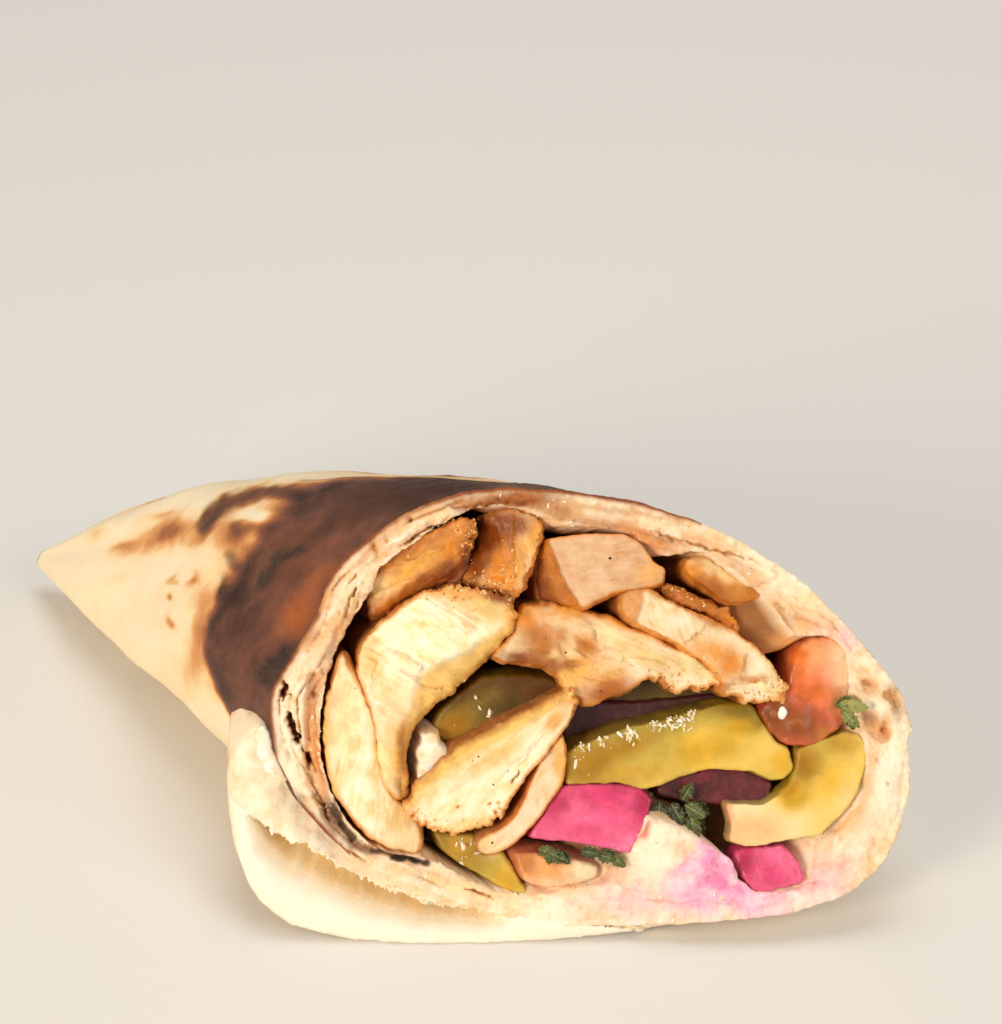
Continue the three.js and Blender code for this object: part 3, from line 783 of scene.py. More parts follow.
def rolledBread():
    spacing = roll["spacing"]
    outer = ragged(softened(roll["outside"], roll["step"], 1.3), 0.16, 1.6, 61)
    inner = ragged(softened(roll["inside"], roll["step"], 0.5), 0.26, 1.5, 62)
    uv, faces, (outerRing, innerRing) = triangulated([outer, inner], spacing, 63)
    relief, crack, oily, burnt, dOut, dIn = cutEdge(uv, outer, inner)
    angle = np.degrees(np.arctan2(uv[:, 1] - wrap["middle"], uv[:, 0]))
    front = carry(uv, np.zeros(len(uv)), relief)
    toast = toastAt(np.zeros(len(uv)), angle, front)
    rimToast = toast * np.exp(-dOut / 0.4) + 0.3 * toast * np.exp(-dOut / 1.8)
    soak = np.maximum(oily, 0.3 * np.exp(-dIn / 0.6))
    shell = Shell()
    crumby = 0.14 * np.exp(-dIn / 0.5) + 0.04
    wash, cover = washesAt(uv, roll["washes"], breadTones, 68)
    floury = np.clip(blobsAt(uv, roll["floury"]), 0, 1)
    strewn = crumby * (dOut > 0.3) * (0.5 + noise(uv, 3, 66))
    shell.add(rested(front), toast=rimToast, char=burnt, cut=1.0, crack=crack, stain=stainAt(uv), soak=soak,
              wash=wash, washed=cover, flour=floury, strewn=strewn)
    shell.faces += faces.tolist()

    # the skin, ring by ring to the tip
    rimUv, rimRelief = uv[outerRing], relief[outerRing]
    smooth = softened(roll["outside"], roll["step"], 2.4)
    smoothAt = smooth[nearest(rimUv, smooth)[1]]
    last = list(outerRing)
    rings = np.concatenate([[0.25, 0.6, 1.1, 1.7, 2.4], np.arange(3.2, wrap["depth"], 0.86), [wrap["depth"]]])
    for depth in rings:
        fade = math.exp(-depth / 1.6)
        ringUv = smoothAt + (rimUv - smoothAt) * fade
        deep = np.full(len(ringUv), depth)
        turn = np.degrees(np.arctan2(ringUv[:, 1] - wrap["middle"], ringUv[:, 0]))
        where = carry(ringUv, deep)
        bump = skinWrinkles(deep, turn, where) + sheetEnd(deep, turn)
        toast, char = toastAt(deep, turn, where), charAt(deep, turn, where)
        bump += 0.3 * char * ramp(deep, 1, 5) + 0.25 * toast * noise(where, 1.9, 64, 2) * ramp(deep, 0.5, 3)
        out = ringUv - np.array([[0, wrap["middle"]]])
        out /= np.linalg.norm(out, axis=1)[:, None]
        shrink = np.maximum(0.25, sectionAt(deep)[2])
        height = bump * min(1, depth / 4) * min(1, (80 - depth) / 18) / shrink
        place = rested(carry(ringUv + out * height[:, None], deep, rimRelief * fade))
        edge = math.exp(-depth / 0.12)
        wash, cover = washesAt(seenPlace(where), skinWashes, skinTones, 69)
        cover = cover * facingFront(turn % 360) * ramp(toast, 0.1, 0.4)
        last = shell.addRing(last, place, toast=toast, char=char, cut=edge, wash=wash, washed=cover)
    shell.close(last)

    # the inner side of the bread, down the hollow
    innerRing = innerRing[::-1]
    rimUv, rimRelief = uv[innerRing], relief[innerRing]
    lining = 0.6 + blobsAt(rimUv, roll["lining"])
    inward = outwardOf(rimUv)
    for _ in range(60):
        inward = (np.roll(inward, 1, 0) + inward + np.roll(inward, -1, 0)) / 3
    stained = stainAt(rimUv)
    # painted shade: the inner wall down the hollow is washed dark brown, less so towards its right end
    lit = ramp(rimUv[:, :1], 31, 34.5)
    shaded = (1 - lit) * srgb("#9c6a42")[:3] + lit * srgb("#f0b478")[:3]
    last = list(innerRing)
    for depth in np.concatenate([[0.3, 0.8, 1.5, 2.4, 3.5], np.linspace(5, roll["hollow"], 13)]):
        fade = math.exp(-depth / 2.5)
        deep = np.full(len(rimUv), depth)
        where = carry(rimUv, deep)
        wave = 0.3 * noise(where, 4, 65, 2) * (1 - fade) + lining * ramp(depth, 0.2, 5)
        place = carry(rimUv + inward * wave[:, None], deep, rimRelief * fade)
        oil = min(0.85, 0.25 + depth / 12)
        covered = ramp(lining * ramp(depth, 0.0, 4), 0.5, 2.2)
        last = shell.addRing(last, place, cut=1.0, stain=0.5 * stained * fade, soak=oil, wash=shaded,
                             washed=covered)
    shell.close(last)
    return shell.mesh("rolledBread")


# ---- bread: the loose end that hangs open below the left side ----
flap = {
    "outside": [
        (-54.6, 34.6), (-56.6, 31.6), (-57.5, 28.4), (-57.6, 24), (-57.2, 18.5), (-55.8, 12.5),
        (-53.4, 7.7), (-48, 3.4), (-38.4, 1.1), (-27.2, 0.1), (-17.6, 0.2), (-8, 0.9), (1.6, 1.8),
        (11.2, 3), (17.6, 4.4), (12, 6.2), (0, 5.6), (-10, 6), (-20, 8), (-30, 11.6), (-37.6, 15.6),
        (-44, 21), (-48, 27.4), (-50, 33), (-51.4, 36.4),
    ],
    "lip": [
        (-54.2, 21.2), (-51.6, 19.2), (-48.8, 17.7), (-44, 15.6), (-39.7, 12.9), (-34.4, 10.2),
        (-28, 7.9), (-22.7, 6.7), (-17, 5.9), (-11.4, 5.2),
    ],
    "root": (-22, 30), "depth": 20, "shrink": 0.34, "pocket": 8.5, "edge": 1.7, "setBack": 1.3,
}


def flapRelief(uv, lip, lipSide):
    toLip, _ = nearest(uv, lip)
    free = softened(flap["outside"], 0.4, 1.5)
    free = free[(free[:, 0] < -52) & (free[:, 1] < 34) | (free[:, 1] < 3.2 + 0.07 * np.abs(free[:, 0]))]
    toFree, _ = nearest(uv, free)
    toRoll, _ = nearest(uv, softened(roll["outside"], roll["step"], 1.3))
    rounded = flap["edge"] * (1 - np.sqrt(1 - np.clip(1 - toFree / (flap["edge"] * 1.3), 0, 1) ** 2))
    share = toLip / (toLip + toFree + 0.01)
    narrow = np.clip((toLip + toFree) / 8, 0, 1) * ramp(uv[:, 0], -10.5, -18) * ramp(uv[:, 0], -55.8, -52.5)
    bowl = flap["pocket"] * narrow * (1 - ramp(share, -0.1, 0.72))
    ripple = 0.4 * noise(uv, 6, 71, 2) + 0.1 * noise(uv, 1.6, 72, 2)
    front = 0.5 + 0.3 * noise(uv, 3, 73, 2) + flap["setBack"] * ramp(4.5 - toRoll, 0, 4)
    front -= 0.3 * np.exp(-toLip / 0.5)
    depth = np.where(lipSide, front, bowl + 0.5 * ripple + 0.1) + rounded + 0.2 * ripple
    deepIn = np.where(lipSide, 0, ramp(bowl, 1.5, 7.5))
    return depth, deepIn, np.where(lipSide, ramp(4 - toRoll, 0, 4), 0)


def looseEnd():
    outer = ragged(softened(flap["outside"], 0.4, 1.5), 0.14, 2.2, 74)
    line = evenly(flap["lip"], 0.24, closed=False)
    way = np.gradient(line, axis=0)
    down = np.stack([way[:, 1], -way[:, 0]], 1) / np.linalg.norm(way, axis=1)[:, None]
    torn = 0.55 * noise(line, 1.7, 75, 3) + 0.7 * np.maximum(0, noise(line, 1.0, 76) - 0.1)
    torn *= np.clip(np.minimum(np.arange(len(line)), len(line) - 1 - np.arange(len(line))) / 8, 0, 1)
    lip = line + down * torn[:, None]
    under = lip + down * 0.14
    uv, faces, (ring,) = triangulated([outer], 0.32, 77, [lip, under])
    _, which = nearest(uv, lip)
    lipSide = ((uv - lip[which]) * down[which]).sum(1) < 0.07
    relief, deepIn, oily = flapRelief(uv, lip, lipSide)
    fringe = 0.9 * np.exp(-((nearest(uv, lip)[0] / 0.35) ** 2)) * lipSide * (0.5 + noise(uv, 2.2, 80))
    shell = Shell()
    front = rested(carry(uv, np.zeros(len(uv)), relief))
    # painted shade: deep in the pocket the cut is marked darker and less floury
    shell.add(front, toast=0.0, char=0.0, cut=1.0, stain=0.3 * stainAt(uv), soak=0.14 * oily, pocket=deepIn,
              flour=np.where(lipSide, 0.4, 1 - 0.8 * deepIn), strewn=fringe)
    shell.faces += faces.tolist()
    rimUv, rimRelief = uv[ring], relief[ring]
    last, root = list(ring), np.array(flap["root"])
    for depth in np.concatenate([[0.3, 0.8, 1.5, 2.3], np.linspace(3.2, flap["depth"], 19)]):
        shrink = 1 - flap["shrink"] * (depth / flap["depth"]) ** 1.2
        deep = np.full(len(ring), depth)
        ringUv = root + (rimUv - root) * shrink
        where = carry(ringUv, deep)
        wave = 0.5 * noise(where, 9, 78, 2) * min(1, depth / 5)
        waved = ringUv + outwardOf(rimUv) * wave[:, None]
        place = rested(carry(waved, deep, rimRelief * math.exp(-depth / 3)))
        tan = np.clip(0.22 * noise(where, 7, 79, 2) + 0.06, 0, 1) * min(1, depth / 6)
        last = shell.addRing(last, place, toast=tan, cut=0.3, flour=0.8 * math.exp(-depth / 9))
    shell.close(last)
    return shell.mesh("looseEnd")


# ---- pieces of filling ----
def ledgesAt(uv, ledges, seed):
    # a torn step: the meat stands proud on the left of each line and drops away on its right, with painted
    # shade at the foot of the step
    rise, mark = np.zeros(len(uv)), np.zeros(len(uv))
    bent = uv + 0.4 * drift(uv, 1.6, seed + 5, 3)
    for a, b, height, reach in ledges:
        gap, along = lineGap(bent, a, b)
        way = np.subtract(b, a) / np.linalg.norm(np.subtract(b, a))
        s = (bent - a) @ np.array([-way[1], way[0]])
        ends = ramp(np.minimum(along, 1 - along), 0.0, 0.12)
        near = np.exp(-np.maximum(s, 0) / reach) * (gap < 3 * reach)
        rise += height * ends * near * ramp(s, -0.2, 0.12)
        # painted shade at the foot of the step, carried on as the crack mark
        mark = np.maximum(mark, 0.7 * ends * np.exp(-(((s + 0.3) / 0.28) ** 2)) * (gap < 1.2))
    return rise, mark


def facetsAt(uv, facets, tones, wash, cover, seed):
    # plane breaks: on the right of each line the surface falls away and takes its own colour
    drop = np.zeros(len(uv))
    bent = uv + 0.3 * drift(uv, 1.8, seed + 9, 2)
    for way, slope, tone, blur in facets:
        gap, side = np.full(len(uv), 99.0), np.zeros(len(uv))
        for a, b in zip(way[:-1], way[1:]):
            away = lineGap(bent, a, b)[0]
            run = np.subtract(b, a) / np.linalg.norm(np.subtract(b, a))
            side = np.where(away < gap, np.sign((bent - a) @ np.array([run[1], -run[0]])), side)
            gap = np.minimum(away, gap)
        past = ramp(gap * side, -0.4 * blur, 0.6 * blur)
        drop += slope * np.maximum(gap * side, 0)
        wash = wash + past[:, None] * (srgb(tones[tone])[:3] - wash)
        cover = np.maximum(cover, 0.9 * past)
    return drop, wash, cover


def cutPiece(name, piece, tones, spacing=0.3, depth=40.0, swellTo=0.4):
    # a piece of filling: its cut face, and its sides running back into the wrap
    seed = sum(map(ord, name))
    loop = softened(piece["outline"], spacing, piece["soft"])
    fray = np.clip(blobsAt(loop, piece.get("frayed", [])), 0, 1.2)
    outward = outwardOf(loop)
    loop = loop + outward * (noise(loop, 1.5, seed, 2) * piece.get("wobble", 0.18))[:, None]
    loop = loop + outward * (fray * (0.8 * noise(loop, 1.0, seed + 3, 3) + 0.15))[:, None]
    uv, faces, (ring,) = triangulated([loop], spacing, seed)
    toRim, which = nearest(uv, loop)
    middle = uv.mean(0)
    heavyAngle, heavyWidth = piece.get("heavy", (0, 0))
    toward = np.array([math.cos(math.radians(heavyAngle)), math.sin(math.radians(heavyAngle))])
    heavy = np.clip(outward @ toward, 0, 1) ** 1.5
    for _ in range(40):
        heavy = (np.roll(heavy, 1) + heavy + np.roll(heavy, -1)) / 3
    heavy = heavy[which] * heavyWidth
    edge = 0.7 * piece["rim"] + 0.75 * heavy
    relief = edge * (1 - np.sqrt(1 - np.clip(1 - toRim / edge, 0, 1) ** 2))
    relief += (uv - middle) @ np.array(piece["slope"])
    relief -= blobsAt(uv, piece.get("mounds", []))
    deep, mark = splitsAt(uv, piece.get("cuts", []), seed)
    deep = 0.7 * deep
    rise, under = ledgesAt(uv, piece.get("ledges", []), seed)
    relief += deep - rise
    wash, cover = washesAt(uv, piece.get("washes", []), tones, seed)
    drop, wash, cover = facetsAt(uv, piece.get("facets", []), tones, wash, cover, seed)
    relief += drop
    angle = math.radians(piece.get("grain", 0))
    turn = np.array([[math.cos(angle), -math.sin(angle)], [math.sin(angle), math.cos(angle)]])

    def grain(places, below):
        across = (places - middle) @ turn
        return np.column_stack([across, np.broadcast_to(below, len(across))])

    front = np.full(len(uv), float(piece["front"]))
    face = uncarry(uv, front)
    tint = piece.get("tint", 0.0) + blobsAt(uv, piece.get("tints", []))
    gold = blobsAt(uv, piece.get("golds", []))
    # roast moves the crust tone: real browning, and painted shade where it is negative on the shaded parts of
    # pieces
    roast = piece.get("roast", 0.0) + blobsAt(uv, piece.get("roastsAndShades", []))
    dull = blobsAt(uv, piece.get("dulls", []))
    strewn = blobsAt(uv, piece.get("strewn", [])) * (0.6 + noise(uv, 1.4, seed + 8, 2))
    strewn = np.clip(strewn + 0.3 * fray[which] * np.exp(-toRim / 1.0), 0, 1.6)
    pepper = piece.get("pepper", 1.0)
    width = piece.get("crust", 0.0) + heavy
    tone = piece.get("tone", 0.5)
    shell = Shell()
    shell.add(carry(face, front, relief), rim=toRim, crack=np.maximum(mark, under), grain=grain(uv, relief),
              side=0.0, down=0.0, tint=tint, gold=gold, crust=width, tone=tone, roast=roast, dull=dull,
              strewn=strewn, pepper=pepper, fray=fray[which] * np.exp(-toRim / 0.8), wash=wash, washed=cover)
    shell.faces += faces.tolist()
    rimFace, rimRelief, rimUv = face[ring], relief[ring], uv[ring]
    out = outwardOf(rimUv)
    last = list(ring)
    lag = piece.get("lag", 12.0)
    fine = np.array([0.3, 0.7, 1.1, 1.6, 2.1, 2.7, 3.3, 4.0, 4.8, 5.7, 6.7, 7.9, 9.3, 11, 13, 16, 20, 26, 33])
    for back in [*fine[fine < depth - 0.3], depth]:
        swell = piece.get("swell", swellTo) * math.sin(min(1, back / 3.5) * math.pi / 2)
        swell -= 1.2 * ramp(back, depth * 0.7, depth)
        behind = lag * (1 - math.exp(-back / max(lag, 0.01)))
        place = carry(rimFace + out * swell, front[ring] + back, rimRelief * math.exp(-back / 5))
        place += behind * (0.8 * right - 0.42 * upFace)
        covered = 0.6 * cover[ring] * math.exp(-back / 4)
        # down, how far back along the side, is darkened by the finishes as painted shade
        last = shell.addRing(last, place, side=1.0, grain=grain(rimUv, back), down=back, tint=tint[ring],
                             gold=gold[ring], crust=width[ring], tone=tone, roast=roast[ring],
                             dull=dull[ring], wash=wash[ring], washed=covered)
    shell.close(last)
    return shell.mesh(name)


def newTree(name, numbers):
    # a Geometry Nodes tree with named inputs
    tree = bpy.data.node_groups.new(name, "GeometryNodeTree")
    tree.interface.new_socket("Geometry", in_out="INPUT", socket_type="NodeSocketGeometry")
    kinds = {int: "Int", float: "Float", bpy.types.Material: "Material"}
    for label, value in numbers.items():
        kind = "NodeSocket" + next(kinds[t] for t in kinds if isinstance(value, t))
        tree.interface.new_socket(label, in_out="INPUT", socket_type=kind).default_value = value
    tree.interface.new_socket("Geometry", in_out="OUTPUT", socket_type="NodeSocketGeometry")
    add = partial(addNode, tree)
    return tree, add, add("NodeGroupInput").outputs


def grown(name, mesh, tree, values):
    # runs a tree on a mesh with its own values, and gives the result as a plain mesh
    helper = bpy.data.objects.new(name + "Source", mesh)
    bpy.context.collection.objects.link(helper)
    modifier = helper.modifiers.new("grow", "NODES")
    modifier.node_group = tree
    for item in tree.interface.items_tree:
        if item.in_out == "INPUT" and item.name in values:
            modifier[item.identifier] = values[item.name]
    dressed = helper.evaluated_get(bpy.context.evaluated_depsgraph_get())
    result = bpy.data.meshes.new_from_object(dressed)
    result.name = name
    bpy.data.objects.remove(helper)
    return result


def meatReliefTree(material):
    # fibres along the grain on the cut, lumps all over, crags on the cooked outside
    tree, add, given = newTree("meatRelief", {
        "Fibre Spacing": 1.15, "Fibre Depth": 0.14, "Split Depth": 0.6, "Lump Depth": 0.3, "Crag Depth": 0.2,
        "Seed": 0, "Finish": material,
    })
    seed = add("MULTIPLY", given["Seed"], 13.7)
    shift = add("xyz", seed, seed, seed)

    def randomAt(vector, scale, detail=2.0):
        return add("noise", add("vector", vector, shift, operation="ADD"), scale, detail)

    inMm = add("scaled", add("position"), 1 / mm)
    rim, fray, crack = (add("stored", key, data_type="FLOAT") for key in ("rim", "fray", "crack"))
    grain = add("stored", "grain", data_type="FLOAT_VECTOR")
    drawn = add("vector", grain, (0.14, 1, 0.5), operation="MULTIPLY")
    size = add("DIVIDE", 1.0, given["Fibre Spacing"])
    fibre = randomAt(drawn, size, 3.0)
    seam = randomAt(drawn, add("MULTIPLY", size, 0.38))
    split = add("range", add("ABSOLUTE", add("SUBTRACT", seam, 0.5)), 0.0, 0.04, 1.0, 0.0)
    split = add("MULTIPLY", split, add("range", randomAt(inMm, 0.16, 1.0), 0.5, 0.62))
    split = add("MULTIPLY", split, add("range", rim, 0.4, 1.3))
    lump = add("SUBTRACT", randomAt(inMm, 0.26, 1.5), 0.5)
    crag = add("SUBTRACT", randomAt(inMm, 0.6, 3.0), 0.5)
    outside = add("MAXIMUM", add("range", rim, 0.1, 1.5, 1.0, 0.1), add("MULTIPLY", fray, 2.0))
    rise = add("MULTIPLY", add("SUBTRACT", fibre, 0.5), add("MULTIPLY", given["Fibre Depth"], 2.0))
    rise = add("SUBTRACT", rise, add("MULTIPLY", split, given["Split Depth"]))
    rise = add("MULTIPLY_ADD", lump, add("MULTIPLY", given["Lump Depth"], 3.0), rise)
    craggy = add("MULTIPLY", add("MULTIPLY", crag, outside), given["Crag Depth"])
    rise = add("MULTIPLY_ADD", craggy, 2.0, rise)
    offset = add("scaled", add("normal"), add("MULTIPLY", rise, mm))
    cracked = add("MAXIMUM", add("MULTIPLY", split, 0.6), crack)
    moved = add("moved", add("store", given["Geometry"], "crack", cracked), offset)
    add("NodeGroupOutput", inputs={0: add("painted", add("real", moved), given["Finish"])})
    return tree


# the few tones that each food's patches of colour are chosen from
# seared, roasted and crusted also serve as painted shade, on the shaded parts of some pieces and at the gaps
# between them
chickenTones = {
    "searedAndShaded": "#8c4519", "crusted": "#a05e2a", "roasted": "#b6692e", "amber": "#ca7e3e",
    "fawn": "#d99c6a", "glazed": "#ee963f", "golden": "#eba661", "honey": "#f3b46c", "butter": "#fac47a",
    "cream": "#fbd28b", "pale": "#fadba8", "ivory": "#ffeeb6",
}
# Each piece: its outline on the cut as it shows from the front, how far back the cut lies, how
# round its rim is, the slope of its cut, the way its grain runs, where it is browned or torn,
# and where painted shade darkens it.
chickenPieces = {
    "block": {
        "outline": [
            (-6.9, 65.4), (-1.6, 66.2), (5.4, 66.3), (8.6, 64.4), (10, 61.8), (12, 60.8), (11.8, 58.4),
            (8.4, 57.4), (4, 56.9), (0.6, 55.2), (-1, 54.3), (-4.8, 54.8), (-7.8, 55.4), (-8.5, 58.1),
            (-8.4, 61.6),
        ],
        "front": -0.8, "soft": 0.4, "rim": 0.4, "slope": (-0.02, -0.03), "grain": 8, "tone": 0.9,
        "crust": 0.1, "fibre": 0.04, "lumps": 0.1, "roast": 0.04, "wobble": 0.06,
        "facets": [
            ([(-6.9, 67), (-5.9, 64), (-4.5, 59.7), (-0.6, 53.8)], 0.9, "amber", 0.6),
            ([(-8.4, 67), (-7.2, 62), (-6.2, 57.6), (-3.6, 53)], 0.2, "searedAndShaded", 2.0),
        ],
        # painted shade: the dull patch greys the right end of this piece
        "roastsAndShades": [((-7.6, 57), 3, -0.16), ((-2, 54.6), 3, -0.12)], "dulls": [((9, 59), 3.4, 0.3)],
        "washes": [((9.6, 60), (2, 3, -40), "honey", 0.6), ((4, 56), (3.6, 0.9, 16), "fawn", 0.7)],
    },
    "crusted": {
        "outline": [
            (-18.2, 68.2), (-16.5, 69.8), (-14.4, 70.4), (-11.2, 70.1), (-8.3, 69.1), (-7.4, 66.9),
            (-8.3, 63.7), (-9.8, 59.7), (-11.8, 56.3), (-12.5, 54.9), (-14.4, 55.6), (-16.8, 56.2),
            (-19.5, 57), (-21.6, 58.1), (-20.5, 60.5), (-19.2, 62.9), (-17.9, 66.1),
        ],
        "front": 1.0, "soft": 0.7, "rim": 0.7, "slope": (-0.3, 0), "grain": -70, "tone": 0.75,
        "crust": 0.3, "fibre": 0.6, "heavy": (186, 6.4), "lumps": 0.5, "crag": 1.0,
        "frayed": [((-14, 55.6), 4, 1.0), ((-19, 57), 3, 0.8)],
        "golds": [((-13.6, 64.5), 2.4, 0.7), ((-14.6, 60), 4, 1.0)],
        # painted shade: the negative roasts darken the left of this piece, which lies in shadow
        "roastsAndShades": [
            ((-19, 65.6), 3.4, -0.24), ((-17.6, 61.6), 2.4, -0.22), ((-15.6, 66.6), 3, -0.06),
            ((-16, 58.4), 4, 0.04),
        ],
        "mounds": [
            ((-14.6, 60), 1.7, 0.9), ((-12.6, 57.4), 1.4, 0.6), ((-15.6, 57.6), 1.3, 0.5),
            ((-16.6, 65.4), 3.2, -1.8),
        ],
        "cuts": [((-16, 59), (-13, 58.4), 0.22, 0.7), ((-14, 56.2), (-11.6, 57), 0.3, 0.9)],
        "ledges": [((-12.4, 69.6), (-11.6, 58), 0.8, 2.4)],
        "strewn": [((-14.5, 57), 3.2, 1.6), ((-13.4, 61.2), 2.4, 1.1), ((-18, 58), 2.4, 1.0)],
        # painted shade: the seared patches darken the left third, a recess in shadow, and the bottom edge
        "washes": [
            ((-16, 65.8), (3.2, 4.2, -20), "searedAndShaded", 1.0), ((-18.4, 61.6), (1.9, 3.8, 0), "searedAndShaded", 0.95),
            ((-14.4, 60.4), (2.0, 4.4, -20), "glazed", 0.95), ((-12, 68), (2.8, 1.8, 0), "roasted", 0.9),
            ((-12.6, 65.4), (1.5, 2.2, -10), "roasted", 0.95),
            ((-11.4, 61.6), (1.3, 4.6, -14), "honey", 0.8), ((-9, 66), (1.3, 3.4, -8), "honey", 0.9),
            ((-15.4, 56.2), (4, 1.3, -14), "searedAndShaded", 0.95), ((-14, 67.6), (4, 2.2, 0), "searedAndShaded", 0.9),
            ((-12.6, 57.6), (1.2, 1.2, 0), "glazed", 0.8),
        ],
    },
    "tucked": {
        "outline": [
            (-35, 58.4), (-33.2, 61.9), (-28.8, 65.1), (-24.4, 67.2), (-21.6, 68.5), (-20.3, 68.9),
            (-18.7, 68.7), (-18.3, 66.9), (-19.2, 64.5), (-20.5, 62.1), (-21.6, 60), (-24, 58.9),
            (-26.4, 57.3), (-29.6, 55.7), (-32.8, 53.6), (-35.4, 52.4), (-35.6, 55),
        ],
        "front": 2.2, "soft": 0.6, "rim": 0.9, "slope": (0, -0.12), "grain": 34, "tone": 0.6,
        "crust": 9.0, "fibre": 0.5, "roast": 0.03, "crag": 0.5, "lumps": 0.3,
        "frayed": [((-19.6, 67), 2.6, 1.0), ((-18.8, 63.6), 2, 0.7)],
        "ledges": [((-23.4, 64.6), (-33, 60.2), 1.0, 1.8), ((-26, 60.6), (-35.6, 55.6), 0.9, 1.6)],
        # painted shade: most negative roasts lie below the ridge, on the half of this piece that is in shadow
        "roastsAndShades": [
            ((-26.6, 61.4), 4.4, 0.12), ((-32, 58.6), 3, 0.06), ((-29, 56.6), 4, -0.14),
            ((-24.6, 59.6), 2.6, -0.14), ((-27, 64.4), 3, -0.1), ((-34, 54), 3, -0.16),
            ((-19.8, 66.6), 2.6, 0.1),
        ],
        "strewn": [((-19.4, 67), 1.8, 1.5), ((-20, 64.6), 1.4, 0.9), ((-30, 63), 2, 0.2)],
        # painted shade: the roasted, crusted and seared patches below the ridge darken the shadowed lower
        # half
        "washes": [
            ((-30.4, 62.8), (5.6, 1.1, 33), "roasted", 0.8),
            ((-33.6, 57.4), (3.4, 2.2, 34), "pale", 0.95), ((-27.6, 61.6), (6, 1.5, 34), "butter", 0.9),
            ((-21.4, 64.4), (3, 2, 48), "glazed", 0.9), ((-19.4, 67), (1.6, 1.4, 0), "amber", 0.9),
            ((-30.4, 55.4), (6, 1.4, 24), "roasted", 0.92),
            ((-26.4, 58.6), (5.6, 1.3, 34), "crusted", 0.92),
            ((-23.2, 59.8), (3, 1.8, 44), "searedAndShaded", 0.95), ((-19.8, 62.8), (1.2, 2.6, 20), "searedAndShaded", 0.9),
            ((-19.2, 64.6), (1.0, 1.8, 20), "searedAndShaded", 0.9),
        ],
    },
    "curl": {
        "outline": [
            (-30.6, 54.2), (-29.2, 55.5), (-26.7, 57), (-21.6, 57.7), (-19.2, 57.2), (-16, 57.3),
            (-12.5, 54.9), (-11.8, 52.5), (-12.5, 50.6), (-17.1, 46.1), (-21.3, 41.8), (-23.7, 39.7),
            (-26.6, 37.4), (-28.4, 35.2), (-29.4, 33.3), (-29.9, 30.2), (-29.3, 26.4), (-29.2, 23.9),
            (-31, 23.5), (-33, 26.1), (-34, 31.4), (-34.6, 36.2), (-35.8, 40.2), (-37.1, 43.4),
            (-37.4, 46.4), (-36.2, 49.3), (-33.8, 51.8),
        ],
        "front": -0.6, "soft": 0.7, "rim": 0.6, "slope": (-0.06, 0.03), "grain": -32, "tone": 0.0,
        "crust": 0.2, "fibre": 0.9, "heavy": (-46, 1.2), "roast": 0.06,
        "facets": [
            ([(-29.9, 28), (-29.4, 37), (-28, 42), (-26, 44.9), (-19.7, 47.6), (-14, 51.4), (-10.8, 54.4)],
             0.34, "cream", 1.9),
        ],
        "frayed": [((-21, 57), 5, 1.0), ((-14, 54.6), 4, 0.9), ((-22, 41), 3, 0.6)],
        "golds": [
            ((-35.6, 44), 3.4, 0.35), ((-33.4, 36), 4, 0.3), ((-31.8, 30), 4, 0.35), ((-15, 55), 4, 0.6),
            ((-22, 57), 4, 0.4), ((-25.6, 40.6), 3, 0.6), ((-28.6, 36), 2.6, 0.5),
        ],
        "roastsAndShades": [((-15, 47.6), 4, -0.1), ((-24, 39.6), 3, -0.04)],
        "ledges": [
            ((-26.2, 44.8), (-33.2, 48), 1.3, 2.2), ((-33.8, 46.6), (-35, 40), 0.4, 1.0),
            ((-27, 42.4), (-31, 44.6), 0.4, 1.2),
        ],
        "mounds": [
            ((-24, 51), 6, 0.8), ((-20, 54.6), 1.8, 0.3), ((-25, 47), 1.6, 0.3), ((-30, 44), 2, 0.3),
        ],
        "cuts": [
            ((-29, 54.9), (-19.6, 50.6), 0.2, 0.5), ((-24.6, 55.6), (-16.6, 53), 0.15, 0.35),
            ((-22, 56.6), (-15.4, 55), 0.14, 0.35), ((-34.3, 47.6), (-34.2, 38), 0.14, 0.3),
        ],
        "strewn": [
            ((-26.8, 57), 1.4, 0.9), ((-22.6, 57.6), 1.8, 1.1), ((-17, 57), 2, 1.1),
            ((-13, 54.6), 1.6, 0.9), ((-23, 40.6), 2, 0.5),
        ],
        "washes": [
            ((-17, 54.6), (5, 2.2, -18), "cream", 0.75), ((-22, 56.8), (6.4, 1.2, -2), "honey", 0.8),
            ((-35.2, 46), (1.7, 4, 10), "cream", 0.7), ((-31, 39.6), (2.4, 4, -16), "pale", 0.5),
            ((-31.4, 30.2), (2, 5.6, 0), "butter", 0.8), ((-14.4, 56), (3.4, 1.1, -24), "searedAndShaded", 0.95),
            ((-33.6, 30), (1.4, 5, 8), "ivory", 0.8), ((-29.8, 32.6), (1.1, 4.6, -4), "crusted", 0.95),
            ((-29.6, 25.6), (1.3, 3, 0), "crusted", 0.95), ((-12.6, 52.6), (1.2, 2.4, 0), "honey", 0.7),
        ],
    },
    "long": {
        "outline": [
            (-39.7, 47.6), (-38, 44), (-35.8, 40.2), (-34.4, 36), (-33.6, 31.4), (-32.6, 26),
            (-30.8, 23.4), (-28.9, 22.6), (-27.2, 19.6), (-26.9, 17.6), (-27.2, 14.6), (-31.5, 15.7),
            (-35, 17.2), (-38, 20.3), (-40.3, 23.7), (-42.1, 28.5), (-42.7, 33.3), (-42.5, 38),
            (-41.6, 42),
        ],
        "front": 0.0, "soft": 0.7, "rim": 0.7, "slope": (0.05, 0), "grain": 82, "tone": 0.04,
        "crust": 0.35, "fibre": 0.25, "roast": 0.02,
        "golds": [
            ((-42, 34), 2.4, 0.8), ((-41.4, 28), 2.4, 0.5), ((-41, 40), 3, 0.7), ((-35, 34), 2, 0.4),
            ((-34.6, 28), 2, 0.3),
        ],
